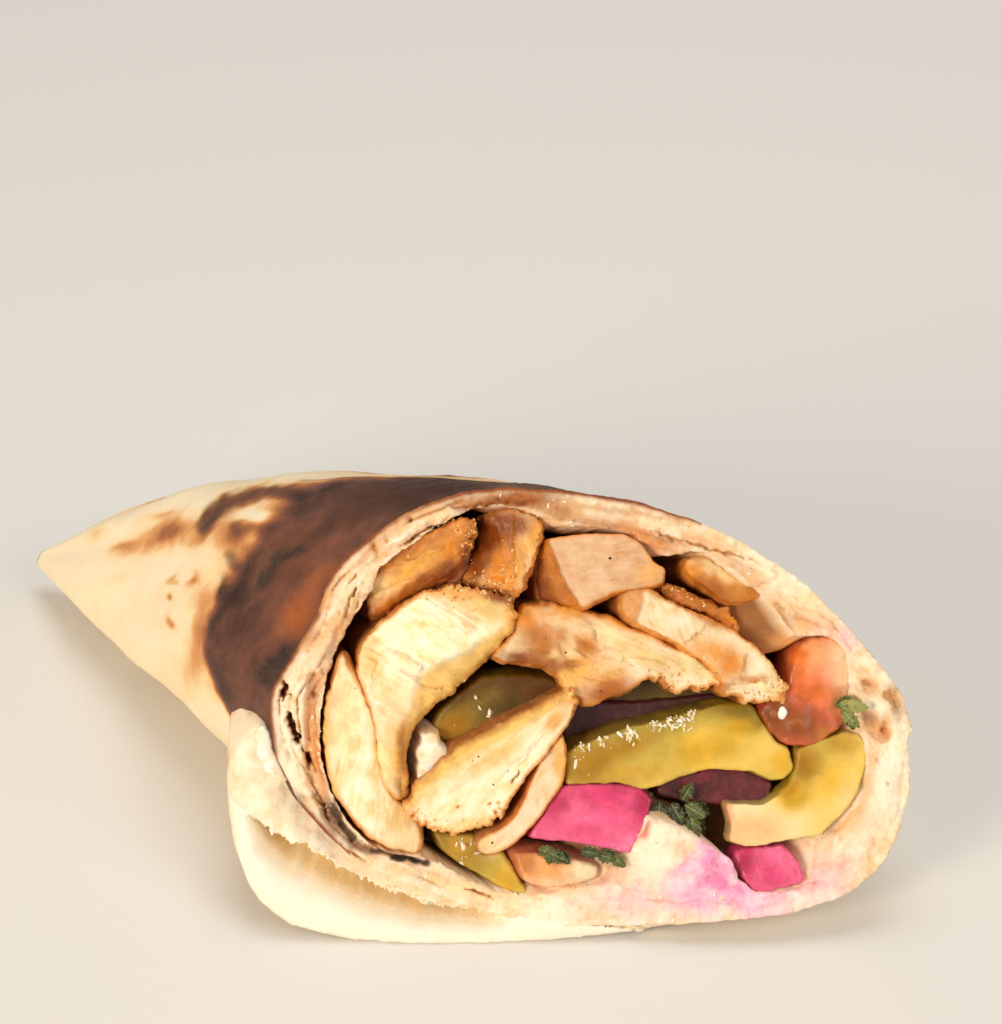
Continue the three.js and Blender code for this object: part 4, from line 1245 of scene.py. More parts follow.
        "dulls": [((-30, 18), 4.4, 0.28)],
        "cuts": [((-38.6, 31.6), (-34.8, 31.2), 0.1, 0.25), ((-34.2, 26), (-32.6, 22.6), 0.1, 0.25)],
        "washes": [
            # painted shadow: the roasted patch darkens the top end of this piece
            ((-41.2, 46.6), (1.2, 2.4, -20), "roasted", 0.8),
            ((-30.6, 21.4), (2.6, 3.4, 30), "cream", 0.75), ((-30, 17.2), (3.6, 2, 0), "pale", 0.7),
            ((-42.4, 34.6), (0.9, 8, 2), "cream", 0.75), ((-40.8, 25), (0.9, 5, -24), "cream", 0.6),
            ((-34.2, 30), (0.8, 7, 0), "butter", 0.6), ((-38.8, 36), (2.2, 8, -6), "ivory", 0.7),
        ],
    },
    "arch": {
        "outline": [
            (-16, 46.6), (-13.6, 45.6), (-10.4, 45.6), (-7.2, 44.8), (-4.8, 43.5), (-3.8, 41.3),
            (-2.7, 40.3), (-0.3, 38.6), (2.2, 39.7), (5.3, 40.8), (8.2, 42.7), (9.9, 43.4), (11.2, 42.9),
            (13, 42.4), (14.1, 40.8), (15.7, 41.4), (17.8, 41.8), (20.3, 42.1), (21.3, 42.9),
            (17.4, 46.2), (13, 48.8), (8.5, 50.9), (4, 52.6), (-0.3, 53.9), (-4, 54.8), (-8, 55.4),
            (-11, 54.8), (-12, 52.5), (-12.3, 50.4), (-14.4, 48.2),
        ],
        "front": 0.4, "soft": 0.5, "rim": 0.7, "slope": (0, 0.1), "grain": -24, "tone": 0.2,
        "crust": 0.35, "fibre": 1.0, "heavy": (96, 0.5), "roast": 0.08, "lumps": 0.4,
        "frayed": [((12.4, 42.4), 3.4, 1.0), ((19, 42), 3, 1.0), ((-3, 41), 2.4, 0.6)],
        "golds": [
            ((-9.6, 52.6), 3.4, 1.0), ((-3.4, 53), 3.6, 0.7), ((4, 51.4), 4, 0.4),
            ((1.4, 42.6), 4.6, 1.1), ((-2.4, 44.4), 3, 0.8), ((-0.6, 49), 2, 0.6), ((14, 44.6), 4, 0.2),
        ],
        "dulls": [((-10.6, 48.6), 3, 0.35), ((11.6, 44.2), 2.4, 0.4)],
        "mounds": [
            ((-2.4, 47.2), 1.5, 1.0), ((-0.8, 50.2), 1.7, 0.8), ((1.4, 42.6), 3.4, 1.2),
            ((8, 47.6), 5, 0.5), ((-8, 52), 3, 0.3),
        ],
        "ledges": [((5.6, 46.8), (1.4, 48.2), 0.9, 1.4), ((12.6, 45.2), (5.6, 46.4), 0.5, 1.2)],
        "cuts": [
            ((-4.4, 45.6), (-0.6, 45.4), 0.22, 0.8), ((1.9, 46.4), (8, 45.3), 0.16, 0.6),
            ((-10, 47.6), (-5.8, 46.8), 0.26, 0.9), ((-5.4, 48.8), (-3.8, 46.2), 0.24, 0.9),
            ((0.6, 51), (1.4, 48.6), 0.2, 0.7), ((5.3, 48.8), (10.4, 47.8), 0.1, 0.35),
            ((7, 49.6), (12.4, 47), 0.08, 0.3), ((-1.6, 48.8), (1, 48.2), 0.2, 0.6),
        ],
        "strewn": [((12.6, 42.6), 2.2, 0.9), ((-2.6, 45.8), 1.6, 0.4), ((18, 42.2), 2, 0.4)],
        "washes": [
            ((-10.6, 53.4), (2.6, 1.6, -40), "glazed", 0.95), ((-8.2, 50), (3, 2.2, -30), "amber", 0.9),
            ((-7, 47.6), (4, 1.9, -16), "amber", 0.9), ((-9, 45.9), (5.4, 1.4, -12), "roasted", 0.95),
            ((-2.6, 47.2), (1.6, 1.2, 20), "pale", 0.8), ((-0.8, 48.4), (2.6, 1.1, -34), "amber", 0.9),
            # painted shade: the seared patch darkens the lower-left edge beside the gap below
            ((-11.4, 46.1), (3, 1.0, -8), "searedAndShaded", 0.9), ((-6, 44.7), (2, 1.0, -20), "crusted", 0.9),
            ((2.6, 50.4), (2.6, 1.2, -24), "ivory", 0.8), ((-9, 55.2), (3, 0.7, -4), "roasted", 0.85),
            ((-4.8, 50), (1.3, 1.3, 0), "amber", 0.8), ((-5.6, 47), (1.4, 0.8, 20), "pale", 0.8),
            ((3, 41), (4.8, 2.2, 14), "roasted", 1.0), ((-2.2, 43.8), (2.6, 1.8, 30), "butter", 0.9),
            ((4, 43.8), (3, 0.9, 10), "honey", 0.6), ((17, 45.2), (3.4, 1.3, -28), "ivory", 0.95),
            ((9, 46.8), (5, 1.8, -24), "cream", 0.7), ((-3.4, 53.6), (5, 0.9, -4), "golden", 0.75),
            ((6, 51.8), (6, 0.8, -20), "golden", 0.7), ((-3.4, 45.2), (1.6, 0.7, 0), "crusted", 0.7),
            ((14, 48.2), (5, 0.6, -30), "golden", 0.6),
        ],
    },
    "outer": {
        "outline": [
            (4.8, 55.7), (5.4, 57), (7.2, 57.6), (9.6, 57.3), (12, 56), (14.4, 54.7), (17.6, 53.3),
            (20, 52.2), (23.2, 50.6), (25.6, 48.8), (28, 46.9), (29.6, 44.5), (30.9, 42.1), (31.4, 40.5),
            (30.1, 39.8), (28.8, 39.7), (27.5, 39), (25.3, 39.7), (22.7, 40.6), (20.5, 41.6),
            (21.3, 42.9), (17.4, 46.4), (13, 49), (8.5, 51.2), (5.6, 53),
        ],
        "front": -0.8, "soft": 0.5, "rim": 0.6, "slope": (0.04, -0.06), "grain": -66, "tone": 0.3,
        "crust": 0.2, "fibre": 0.7, "roast": 0.06,
        "frayed": [((30.6, 40.6), 3, 1.2), ((24, 39.9), 3.4, 1.1), ((28.6, 46), 3, 0.3)],
        "golds": [
            ((20.4, 45.8), 3.6, 1.2), ((17, 49), 2.6, 0.5), ((30.4, 40.6), 1.4, 1.0), ((7, 54), 2.4, 0.3),
            ((13, 49.6), 2, 0.4),
        ],
        "ledges": [
            ((14.6, 48.4), (18.6, 52), 0.7, 1.4), ((29.4, 42.4), (21, 42), 0.9, 1.0),
            ((24.4, 43.6), (24.8, 47.6), 0.7, 1.4),
        ],
        "mounds": [((21, 45.6), 2.6, 0.5)],
        "cuts": [
            ((14.4, 54), (16.6, 49), 0.12, 0.4), ((16.4, 53), (18.6, 49.4), 0.12, 0.4),
            ((22.6, 42.4), (26.4, 42.6), 0.18, 0.6),
        ],
        "facets": [([(9, 59), (8.6, 55.6), (7.2, 51)], 0.35, "fawn", 0.8)],
        "strewn": [
            ((25.6, 41), 3, 0.7), ((30.6, 41), 1.6, 1.0), ((27, 44), 2, 0.4), ((21, 40.8), 1.6, 0.7),
        ],
        "washes": [
            ((11.6, 56.4), (2.4, 0.9, -20), "amber", 0.8),
            ((22.6, 45.8), (2.5, 1.9, -26), "glazed", 0.92),
            ((19.4, 47.4), (1.8, 1.1, -30), "golden", 0.7), ((18.8, 52.7), (4, 1.1, -28), "amber", 0.85),
            ((25.6, 43), (2.8, 0.7, 0), "amber", 0.75), ((21.2, 41.8), (1.5, 0.7, 0), "amber", 0.85),
            ((28.4, 41.6), (2.4, 1.0, -10), "ivory", 0.75), ((31, 40.2), (0.8, 0.9, 0), "glazed", 0.9),
            ((29, 45.4), (1.0, 2.6, 34), "pale", 0.6),
        ],
    },
    "flake": {
        "outline": [
            (10.4, 58), (12.4, 57.9), (14.1, 57.6), (16.8, 56.2), (19.5, 55.2), (21.6, 54.1),
            (23.2, 52.5), (24.2, 50.4), (22.4, 50.7), (20.5, 52.2), (18.1, 53.4), (15.7, 54.6),
            (12.8, 56),
        ],
        "front": 1.4, "soft": 0.4, "rim": 0.5, "slope": (0, 0), "grain": -25, "tone": 0.7, "crust": 6.0,
        "fibre": 0.6, "crag": 0.5, "frayed": [((22, 52), 4, 1.0), ((14, 57), 3, 0.8)],
        "mounds": [((15, 56.4), 1.4, 0.6), ((19.6, 54), 1.2, 0.5)],
        "roastsAndShades": [((13, 56.6), 3, -0.06), ((22, 52.4), 2, 0.06)],
        "strewn": [((16, 56), 4, 0.5), ((22.4, 52.6), 2, 0.9)],
        "washes": [
            ((18, 55.4), (6, 1.5, -30), "amber", 0.9), ((22.6, 52.2), (1.6, 1.4, -40), "glazed", 0.8),
            ((13.4, 57), (2, 0.8, 0), "roasted", 0.7),
        ],
    },
    "top": {
        "outline": [
            (14.6, 61.8), (17.6, 62.9), (20.8, 61.3), (24.5, 58.8), (28, 56.2), (25.1, 55.2),
            (21.9, 54.9), (18, 57.8), (14.8, 59.8),
        ],
        "front": 1.2, "soft": 0.9, "rim": 1.3, "slope": (0, 0), "grain": -30, "tone": 0.75, "crust": 6.0,
        "fibre": 0.2, "roast": 0.1, "crag": 0.1, "roastsAndShades": [((24, 56.6), 4, 0.08), ((17, 59), 3, -0.08)],
        "washes": [
            ((20, 57.4), (5, 1.6, -34), "roasted", 0.95), ((25, 56.6), (4, 1.7, -30), "amber", 0.9),
            ((20.4, 60.6), (4.6, 1.3, -28), "pale", 0.95), ((16, 60.4), (1.6, 1.6, 0), "golden", 0.8),
        ],
    },
    "lower": {
        "outline": [
            (-1.8, 39.6), (-3.2, 41.3), (-4.6, 40.2), (-11, 37), (-15.8, 34.2), (-20.8, 31.8),
            (-27.7, 25.9), (-29.4, 22.7), (-28, 20.6), (-24.6, 19.4), (-21.8, 18.1), (-20.3, 19.2),
            (-17, 19.7), (-15.8, 20.6), (-14.1, 21.8), (-13.1, 23.5), (-10.4, 27.2), (-7.5, 30.6),
            (-4.8, 34.2), (-3, 36.3), (-2.7, 38.4),
        ],
        "front": -2.4, "soft": 0.5, "rim": 0.6, "slope": (0.03, -0.06), "grain": 42, "tone": 0.05,
        "crust": 0.25, "fibre": 0.3, "heavy": (126, 0.6), "roast": 0.12,
        "facets": [
            ([(-2.4, 40.8), (-5.4, 38), (-11, 34.8), (-20, 29.6), (-25.6, 25.6), (-30, 23.2)],
             0.35, "cream", 1.6),
        ],
        "frayed": [
            ((-23, 18.4), 6, 1.0), ((-15, 20.8), 3, 1.1), ((-2.6, 40), 2, 1.1), ((-28.6, 22.6), 3, 0.7),
        ],
        "golds": [
            ((-28.6, 22), 2, 0.6), ((-3.4, 39.6), 2.4, 0.6), ((-22, 28), 3, 0.4), ((-12, 34), 3, 0.3),
        ],
        "roastsAndShades": [((-12, 36.2), 4, -0.08), ((-20, 31.8), 3, -0.05)],
        "cuts": [((-12.4, 26.6), (-11.4, 28.6), 0.3, 1.6), ((-11.4, 28.6), (-7.6, 34.4), 0.14, 0.8)],
        "strewn": [
            ((-28.4, 22.4), 1.8, 0.8), ((-22, 19), 3, 0.5), ((-14.6, 21.6), 1.4, 1.0),
            ((-2.6, 39.4), 1.6, 0.8),
        ],
        "washes": [
            ((-26.6, 25.4), (2.6, 2.2, 45), "cream", 0.7), ((-14.6, 31.4), (6, 1.6, 38), "cream", 0.8),
            ((-18.6, 20), (6, 1.1, 8), "cream", 0.7), ((-3.6, 40), (1.4, 1.2, 0), "honey", 0.8),
            # painted shadow: the crusted patch darkens the top right end, next to the arch
            ((-6.2, 38.9), (3, 0.7, 30), "crusted", 0.9), ((-5.6, 36.6), (2.6, 1.4, 44), "honey", 0.85),
        ],
    },
    "thin": {
        "outline": [
            (-17.9, 17.3), (-17.9, 15.5), (-16, 14.7), (-12.3, 16.6), (-9.1, 19.7), (-6.7, 22.9),
            (-4.5, 26.1), (-3.7, 30.1), (-4.3, 34.1), (-5.4, 33.3), (-7.8, 30.2), (-9.6, 26.6),
            (-10.4, 24), (-12, 21.2), (-14.3, 19.1), (-17, 17.9),
        ],
        "front": -1.3, "soft": 0.6, "rim": 0.5, "slope": (0, 0), "grain": 55, "tone": 0.45, "crust": 0.12,
        "fibre": 0.08, "golds": [((-4.4, 29.6), 2.4, 0.7), ((-6.4, 24.6), 1.6, 0.4)], "lag": 8,
        "lumps": 0.12, "wobble": 0.1,
        "washes": [
            ((-16.6, 16.8), (2.4, 1.7, 0), "pale", 0.9), ((-5, 29.6), (1.0, 4.6, 6), "butter", 0.75),
            ((-4.8, 33.2), (0.9, 1.3, 0), "cream", 0.85),
        ],
    },
    "deep": {
        "outline": [
            (-25.6, 57.6), (-24.4, 60), (-22.4, 62), (-20.6, 63.8), (-19, 63.4), (-19.2, 60.6),
            (-21, 58.2), (-23.6, 56.8),
        ],
        "front": 5.0, "soft": 0.5, "rim": 0.6, "slope": (0, 0), "grain": 50, "tone": 1.0, "crust": 6,
        # painted shade: roast -0.3 darkens this piece, which is set deep between the others
        "fibre": 0.6, "roast": -0.3,
    },
}

pickleTones = {
    "shaded": "#613d1a", "olive": "#9b8039", "amber": "#b58541", "mustard": "#cda359",
    "golden": "#e0b457", "yellow": "#f4c866", "cream": "#f9ce9a", "pale": "#f8de9f", "blush": "#ffb494",
}
picklePieces = {
    "slice": {
        "outline": [
            (-4, 26.1), (-3.9, 30.9), (-1.9, 32.3), (1.9, 33.6), (5.3, 34.9), (9.4, 35.8), (16.8, 37.9),
            (21.9, 39.1), (25.9, 39), (27.5, 36.5), (30.1, 32.6), (32, 32), (32.2, 29.9), (33.1, 28.8),
            (31.4, 27), (29.3, 26.7), (26.2, 28.2), (21.9, 28.6), (18.9, 28.6), (14.4, 27.5),
            (11.8, 26.1), (8.5, 25.4), (4.6, 26.4),
        ],
        "front": 0.8, "soft": 0.6, "rim": 0.6, "slope": (0.02, 0.1), "tint": 0.46, "wobble": 0.14,
        "lag": 14, "depth": 15,
        "tints": [
            ((20.4, 32), 6, 0.24), ((28.6, 31), 4, 0.16), ((24.4, 38), 3.4, -0.24), ((13, 36.6), 3, -0.1),
            ((5, 34), 3, -0.06), ((3, 27), 4, 0.04), ((10, 26.6), 3, 0.14), ((19, 37.6), 3, -0.14),
            ((0, 29.4), 3, -0.04), ((31.6, 28.6), 2.6, 0.1),
        ],
        "mounds": [((8, 29.4), 6, 0.4), ((22, 34), 6, 0.4)],
        "strewn": [
            ((-1.4, 32.2), 1.2, 0.7), ((1.8, 33.4), 1.0, 0.7), ((5.8, 34.4), 1.1, 1.4),
            ((6.4, 33.6), 0.8, 1.0), ((10.8, 35.6), 1.0, 1.3), ((12.6, 36.2), 1.0, 1.5),
            ((14.4, 36.6), 1.1, 1.5), ((16.2, 37.2), 1.0, 1.3), ((15.6, 35.6), 0.8, 0.9),
            ((0, 31), 3, 0.12),
        ],
        "washes": [
            ((-0.6, 29), (4.8, 3.2, 10), "amber", 0.75), ((7.6, 28), (5, 1.7, 4), "mustard", 0.7),
            ((6, 32.2), (5.4, 1.7, 16), "amber", 0.75), ((19, 31.8), (6, 3, 10), "golden", 0.8),
            ((24, 35.4), (3, 1.6, 0), "golden", 0.75), ((30.8, 29.6), (2.2, 2, 0), "golden", 0.8),
            ((13, 36.6), (5.4, 0.9, 15), "olive", 0.6), ((23.6, 38.2), (3.4, 1.0, 0), "olive", 0.8),
            ((27.4, 36.6), (1.0, 2.2, -34), "olive", 0.8),
        ],
    },
    "hook": {
        "outline": [
            (21.9, 23), (22.7, 19.5), (22.3, 17.1), (24.8, 16.3), (28, 16.5), (32, 17.3), (37, 18.1),
            (40.3, 21.3), (42.9, 25), (44.2, 29.3), (44.5, 32), (43.3, 34), (40.8, 34.4), (36.8, 33),
            (33.3, 31.7), (33, 28.8), (32, 26.1), (30.1, 24.2), (28, 22.9), (24.8, 22.9),
        ],
        "front": 0.4, "soft": 0.3, "rim": 0.4, "slope": (0.03, 0.04), "tint": 0.66, "wobble": 0.1,
        "lag": 40, "depth": 5,
        "tints": [
            ((33.6, 30), 3, -0.3), ((31.6, 25.6), 2.6, -0.24), ((38.6, 33), 4.4, -0.12),
            ((24.6, 19.6), 6, 0.36), ((33, 19.4), 4, 0.2), ((41.4, 24), 3, 0.12), ((36, 27), 3.4, 0.04),
        ],
        "mounds": [((39, 26), 5, 0.5), ((28, 20), 4, 0.3)], "strewn": [((38.4, 19.4), 1.2, 0.3)],
        "washes": [
            ((22.3, 20.6), (0.8, 4, 0), "blush", 0.9), ((28, 19.6), (3.6, 2.4, 0), "cream", 0.7),
            ((24.4, 18.8), (1.8, 2.6, 0), "cream", 0.8), ((33, 24), (2.8, 2.4, 30), "golden", 0.8),
            ((34.6, 29.4), (2.4, 3.2, 0), "amber", 0.9), ((31.6, 25.6), (2, 1.6, 0), "amber", 0.8),
            ((38.6, 26.6), (2.2, 3.6, -20), "yellow", 0.7), ((40.8, 23), (1.6, 3, -30), "pale", 0.7),
            ((40.6, 32.4), (3.2, 1.5, 0), "mustard", 0.8), ((25, 17.4), (3, 0.9, 0), "cream", 0.6),
        ],
    },
    "wedge": {
        "outline": [
            (-25.3, 18.6), (-18.4, 18), (-17.3, 14.7), (-14.1, 15.4), (-12, 12), (-9.8, 8.6),
            (-11.6, 8.4), (-14.7, 9.9), (-20, 12.8), (-23.7, 15.4),
        ],
        "front": 1.4, "soft": 0.6, "rim": 0.8, "slope": (0, 0.06), "tint": 0.4, "wobble": 0.1, "lag": 4,
        "depth": 10, "tints": [((-13, 11.4), 4, 0.2), ((-19.6, 16.4), 4, 0.02), ((-24, 17), 3, -0.16)],
        "strewn": [((-20.4, 16), 1.0, 0.8), ((-18.4, 15.6), 0.8, 0.5), ((-20.6, 13.4), 0.8, 0.6)],
        "washes": [
            ((-20, 15.6), (4, 2.4, -20), "mustard", 0.75),
            ((-13.4, 10.6), (2.6, 1.6, -40), "golden", 0.75), ((-16.2, 15.2), (1.8, 1.4, 0), "pale", 0.8),
        ],
    },
    "back": {
        "outline": [
            (-25, 37), (-21.3, 40.8), (-17.3, 43.4), (-10.7, 44), (-5.9, 43.2), (-4.3, 41.6),
            (-4.5, 39.8), (-8, 37.4), (-11.4, 36), (-16.5, 33.6), (-21, 31.6), (-22.9, 32.6),
            (-25.6, 33.8),
        ],
        "front": 4.2, "soft": 0.8, "rim": 1.4, "slope": (0, -0.12), "tint": 0.2, "wobble": 0.1, "lag": 9,
        "depth": 24,
        "tints": [
            ((-22, 36), 4, 0.12), ((-10, 42.6), 6, -0.04), ((-13, 37), 4, -0.1), ((-17, 40.4), 3, 0.06),
        ],
        "strewn": [((-19, 38), 4, 0.12)],
        "washes": [
            # painted shade: the shaded patches darken the top edge and the right end
            ((-21.8, 35), (3, 2.8, 40), "amber", 0.85), ((-13, 42.6), (7, 1.6, 14), "shaded", 0.8),
            ((-20.4, 41), (5, 1.7, 38), "shaded", 0.95), ((-8, 40.6), (4.4, 2.6, 0), "shaded", 0.95),
        ],
    },
    "deep": {
        "outline": [
            (1.6, 38.9), (5.4, 41.5), (10.7, 43.4), (16, 43), (21.5, 41.6), (21.9, 40), (16, 39.2),
            (8, 38.4),
        ],
        # painted shade: the low tint keeps this piece, set far back, dark
        "front": 7.0, "soft": 0.6, "rim": 0.8, "slope": (0, -0.2), "tint": 0.12, "wobble": 0.1,
        "depth": 18, "tints": [((14, 41), 6, 0.05)],
    },
}

turnipTones = {
    "dark": "#472820", "dim": "#763b3a", "beet": "#c64f6b", "magenta": "#e56185", "rosy": "#f5789a",
}
turnipPieces = {
    "block": {
        "outline": [
            (-9.9, 17.7), (-7.4, 21.8), (-5.1, 25.2), (-3.6, 26), (1.6, 26.3), (5.6, 26.2), (8.6, 25.4),
            (10, 23.6), (9.2, 20.5), (8, 17.8), (6, 15.2), (1.6, 16.2), (-3.2, 17),
        ],
        "front": -0.2, "soft": 0.45, "rim": 0.6, "slope": (0.03, 0.08), "tint": 0.6, "wobble": 0.12,
        "lag": 8, "depth": 24,
        "tints": [
            ((0, 20.6), 6, 0.16), ((2, 25.8), 5, -0.24), ((9.4, 23.4), 2.6, -0.4), ((-8, 19), 3, -0.06),
            ((5, 17), 2, 0.1),
        ],
        "frayed": [((5, 16), 3, 0.3)],
        "washes": [
            ((-5.4, 23.2), (2.2, 2.8, -30), "beet", 0.7), ((2, 24.6), (5, 1.5, 0), "magenta", 0.65),
            ((8.6, 22.4), (1.2, 3.2, 12), "beet", 0.85), ((-1, 18.6), (5, 1.6, -10), "rosy", 0.7),
            ((4, 22), (4, 2.6, 0), "rosy", 0.6),
        ],
    },
    "low": {
        "outline": [
            (22.9, 15.4), (24.8, 15.9), (28.8, 16.2), (30.9, 16.5), (32.5, 14.7), (33.8, 12.6),
            (34.4, 10.9), (33.3, 10.1), (30.4, 9.6), (27.8, 8.8), (26.1, 9), (24.5, 10.9), (23.4, 13.3),
        ],
        "front": 0.1, "soft": 0.5, "rim": 0.8, "slope": (0, 0.03), "tint": 0.6, "wobble": 0.2, "lag": 20,
        "depth": 5, "tints": [((32, 13), 3, 0.14), ((24.6, 14.6), 3, -0.16), ((30, 14), 2, 0.06)],
        "mounds": [((29.6, 12), 3.4, 0.6)],
        "washes": [
            ((25, 13.6), (1.6, 3, 0), "beet", 0.75), ((29.6, 12), (2.6, 2, 0), "magenta", 0.6),
            ((32.4, 13.6), (1.4, 2, 0), "rosy", 0.7),
        ],
    },
    "shade": {
        "outline": [
            (10.7, 26.4), (15, 28.4), (20.6, 29), (25.3, 28.6), (29.6, 26.4), (28.8, 22.8), (21.6, 22.6),
            (17.3, 23), (10.7, 24.2),
        ],
        # painted shade: the low tint and the dim and dark patches make this piece in the hollow dark
        "front": 3.2, "soft": 0.6, "rim": 0.8, "slope": (0, 0.1), "tint": 0.13, "wobble": 0.08, "lag": 6,
        "depth": 18, "tints": [((15, 27.4), 4, 0.1), ((26, 26), 5, -0.04)],
        "washes": [
            ((23, 25.6), (7, 3, 0), "dim", 0.8), ((15.4, 27.4), (3, 1.0, 20), "dim", 0.7),
            ((14.4, 24.8), (4.4, 1.8, 0), "dark", 0.9),
        ],
    },
    "deep": {
        "outline": [
            (-4.6, 39.2), (1.6, 39.2), (8, 39.2), (16, 40), (21.1, 40.6), (19.4, 37), (11.7, 35),
            (5.1, 33), (-0.2, 31), (-4.2, 29.2),
        ],
        # painted shade: the low tint and the dark patch make this piece in the hollow dark
        "front": 6.6, "soft": 0.6, "rim": 0.8, "slope": (0, -0.1), "tint": 0.04, "wobble": 0.08, "lag": 8,
        "depth": 18, "tints": [((2, 35), 5, 0.05)], "washes": [((7, 36), (14, 4, 15), "dark", 0.75)],
    },
}

tomatoTones = {
    "jelly": "#9f5f3b", "dull": "#c48658", "coral": "#ea8854", "peach": "#f9b984", "blush": "#ffd6ae",
    "ivory": "#fff0cc",
}
tomatoPieces = {
    "side": {
        "outline": [
            (33, 47), (34.4, 48.9), (36.4, 49.7), (38.8, 49.8), (41.2, 48.4), (42, 44), (41.2, 39.7),
            (40, 35), (36.4, 32.2), (31.5, 32.4), (28.5, 34.6), (27, 38.3), (29.6, 40.4), (31.6, 41.3),
            (32.1, 45),
        ],
        "front": 1.2, "soft": 0.8, "rim": 0.9, "slope": (0.02, 0.03), "tint": 0.5, "wobble": 0.25,
        "lag": 8, "depth": 8,
        "tints": [
            ((40.6, 46.6), 4.2, 0.46), ((34, 45.6), 2.4, 0.1), ((31, 36), 4.4, -0.36),
            ((37, 35.6), 3.4, -0.14), ((28.6, 37.6), 3, -0.24), ((39.8, 40), 2.4, 0.16),
        ],
        "mounds": [
            ((35.6, 45.6), 3.4, 0.8), ((33.4, 35.8), 2.6, 0.8), ((38, 35.8), 2, 0.6),
            ((30, 38.4), 1.6, 0.5),
        ],
        "cuts": [((32, 40.6), (36, 39.6), 0.4, 0.6)],
        "washes": [
            ((33.4, 45.4), (1.5, 4.2, 0), "coral", 0.85), ((37, 47.2), (2.6, 3, 0), "peach", 0.85),
            ((40.8, 44.6), (2, 4.8, 6), "blush", 0.95), ((33.6, 46), (1.2, 1.4, 0), "coral", 0.9),
            ((34, 49.2), (2, 1.3, 10), "peach", 0.85), ((32, 43.8), (0.6, 2.8, 4), "jelly", 0.8),
            ((35.8, 40.8), (3, 2, 0), "coral", 0.75), ((33, 36.2), (4.6, 2.6, -10), "jelly", 0.88),
            ((29, 35.8), (2, 2.8, 20), "jelly", 0.85), ((37.4, 34.2), (2, 1.4, 0), "dull", 0.8),
            ((39.6, 39.4), (1.3, 2.2, 0), "dull", 0.85), ((29.4, 39), (1.6, 1.0, 20), "jelly", 0.7),
        ],
    },
    "low": {
        "outline": [
            (-12.3, 15.1), (-9, 15.2), (-4, 14.3), (1.4, 13.2), (1.2, 11.2), (-2, 10.2), (-7, 9.6),
            (-10.6, 10.6),
        ],
        "front": 0.1, "soft": 0.6, "rim": 0.8, "slope": (0, 0.04), "tint": 0.95, "wobble": 0.14, "lag": 2,
        "depth": 8, "tints": [((-10, 13.6), 2.6, -0.3), ((-1, 12), 3, 0.12)],
        "mounds": [((-6, 12.6), 2.4, 0.3)],
        "washes": [
            ((-6, 12.6), (8, 3, 0), "peach", 0.95), ((-11, 14), (2, 1.6, 0), "dull", 0.8),
            ((-1, 12), (2.8, 2.4, 0), "ivory", 0.9), ((-6, 10.6), (5, 0.9, 0), "blush", 0.8),
        ],
    },
}

saucePieces = {
    "pool": {
        "outline": [
            (-26.8, 34.3), (-25.6, 34.9), (-24.4, 33.6), (-23.4, 31.8), (-22.6, 30), (-24.4, 27.7),
            (-27.2, 25.3), (-27.8, 28.6), (-27.6, 32),
        ],
        "front": 1.4, "soft": 0.35, "rim": 0.6, "slope": (0.1, 0.05), "wobble": 0.35, "lag": 6,
        "mounds": [((-25.4, 32), 1.4, 0.5), ((-26.4, 29), 1.0, 0.4), ((-23, 33.4), 1.2, 0.3)], "depth": 9,
        "tints": [((-25.8, 30), 2.4, 0.5), ((-24.6, 34.6), 2, -0.5)],
    },
    "smear": {
        "outline": [
            (-53.4, 34.6), (-52.2, 35.4), (-51, 33), (-49.6, 30.4), (-47.8, 27.6), (-47.4, 26),
            (-49.6, 26.6), (-52, 28), (-53.6, 31),
        ],
        "front": 0.75, "soft": 0.4, "rim": 0.5, "slope": (0, 0), "wobble": 0.5, "lag": 2, "depth": 3.3,
        "tints": [((-51.6, 31.6), 3, 0.5)],
    },
    "drop": {
        "outline": [(30, 36.8), (29.9, 38), (30.6, 39), (31.4, 38.6), (31.9, 37.4), (31, 36.4)],
        "front": 0.2, "soft": 0.3, "rim": 0.9, "slope": (0, 0), "wobble": 0.1, "lag": 2, "depth": 1.8,
        "tints": [((31, 37.6), 2, 0.6)],
    },
}

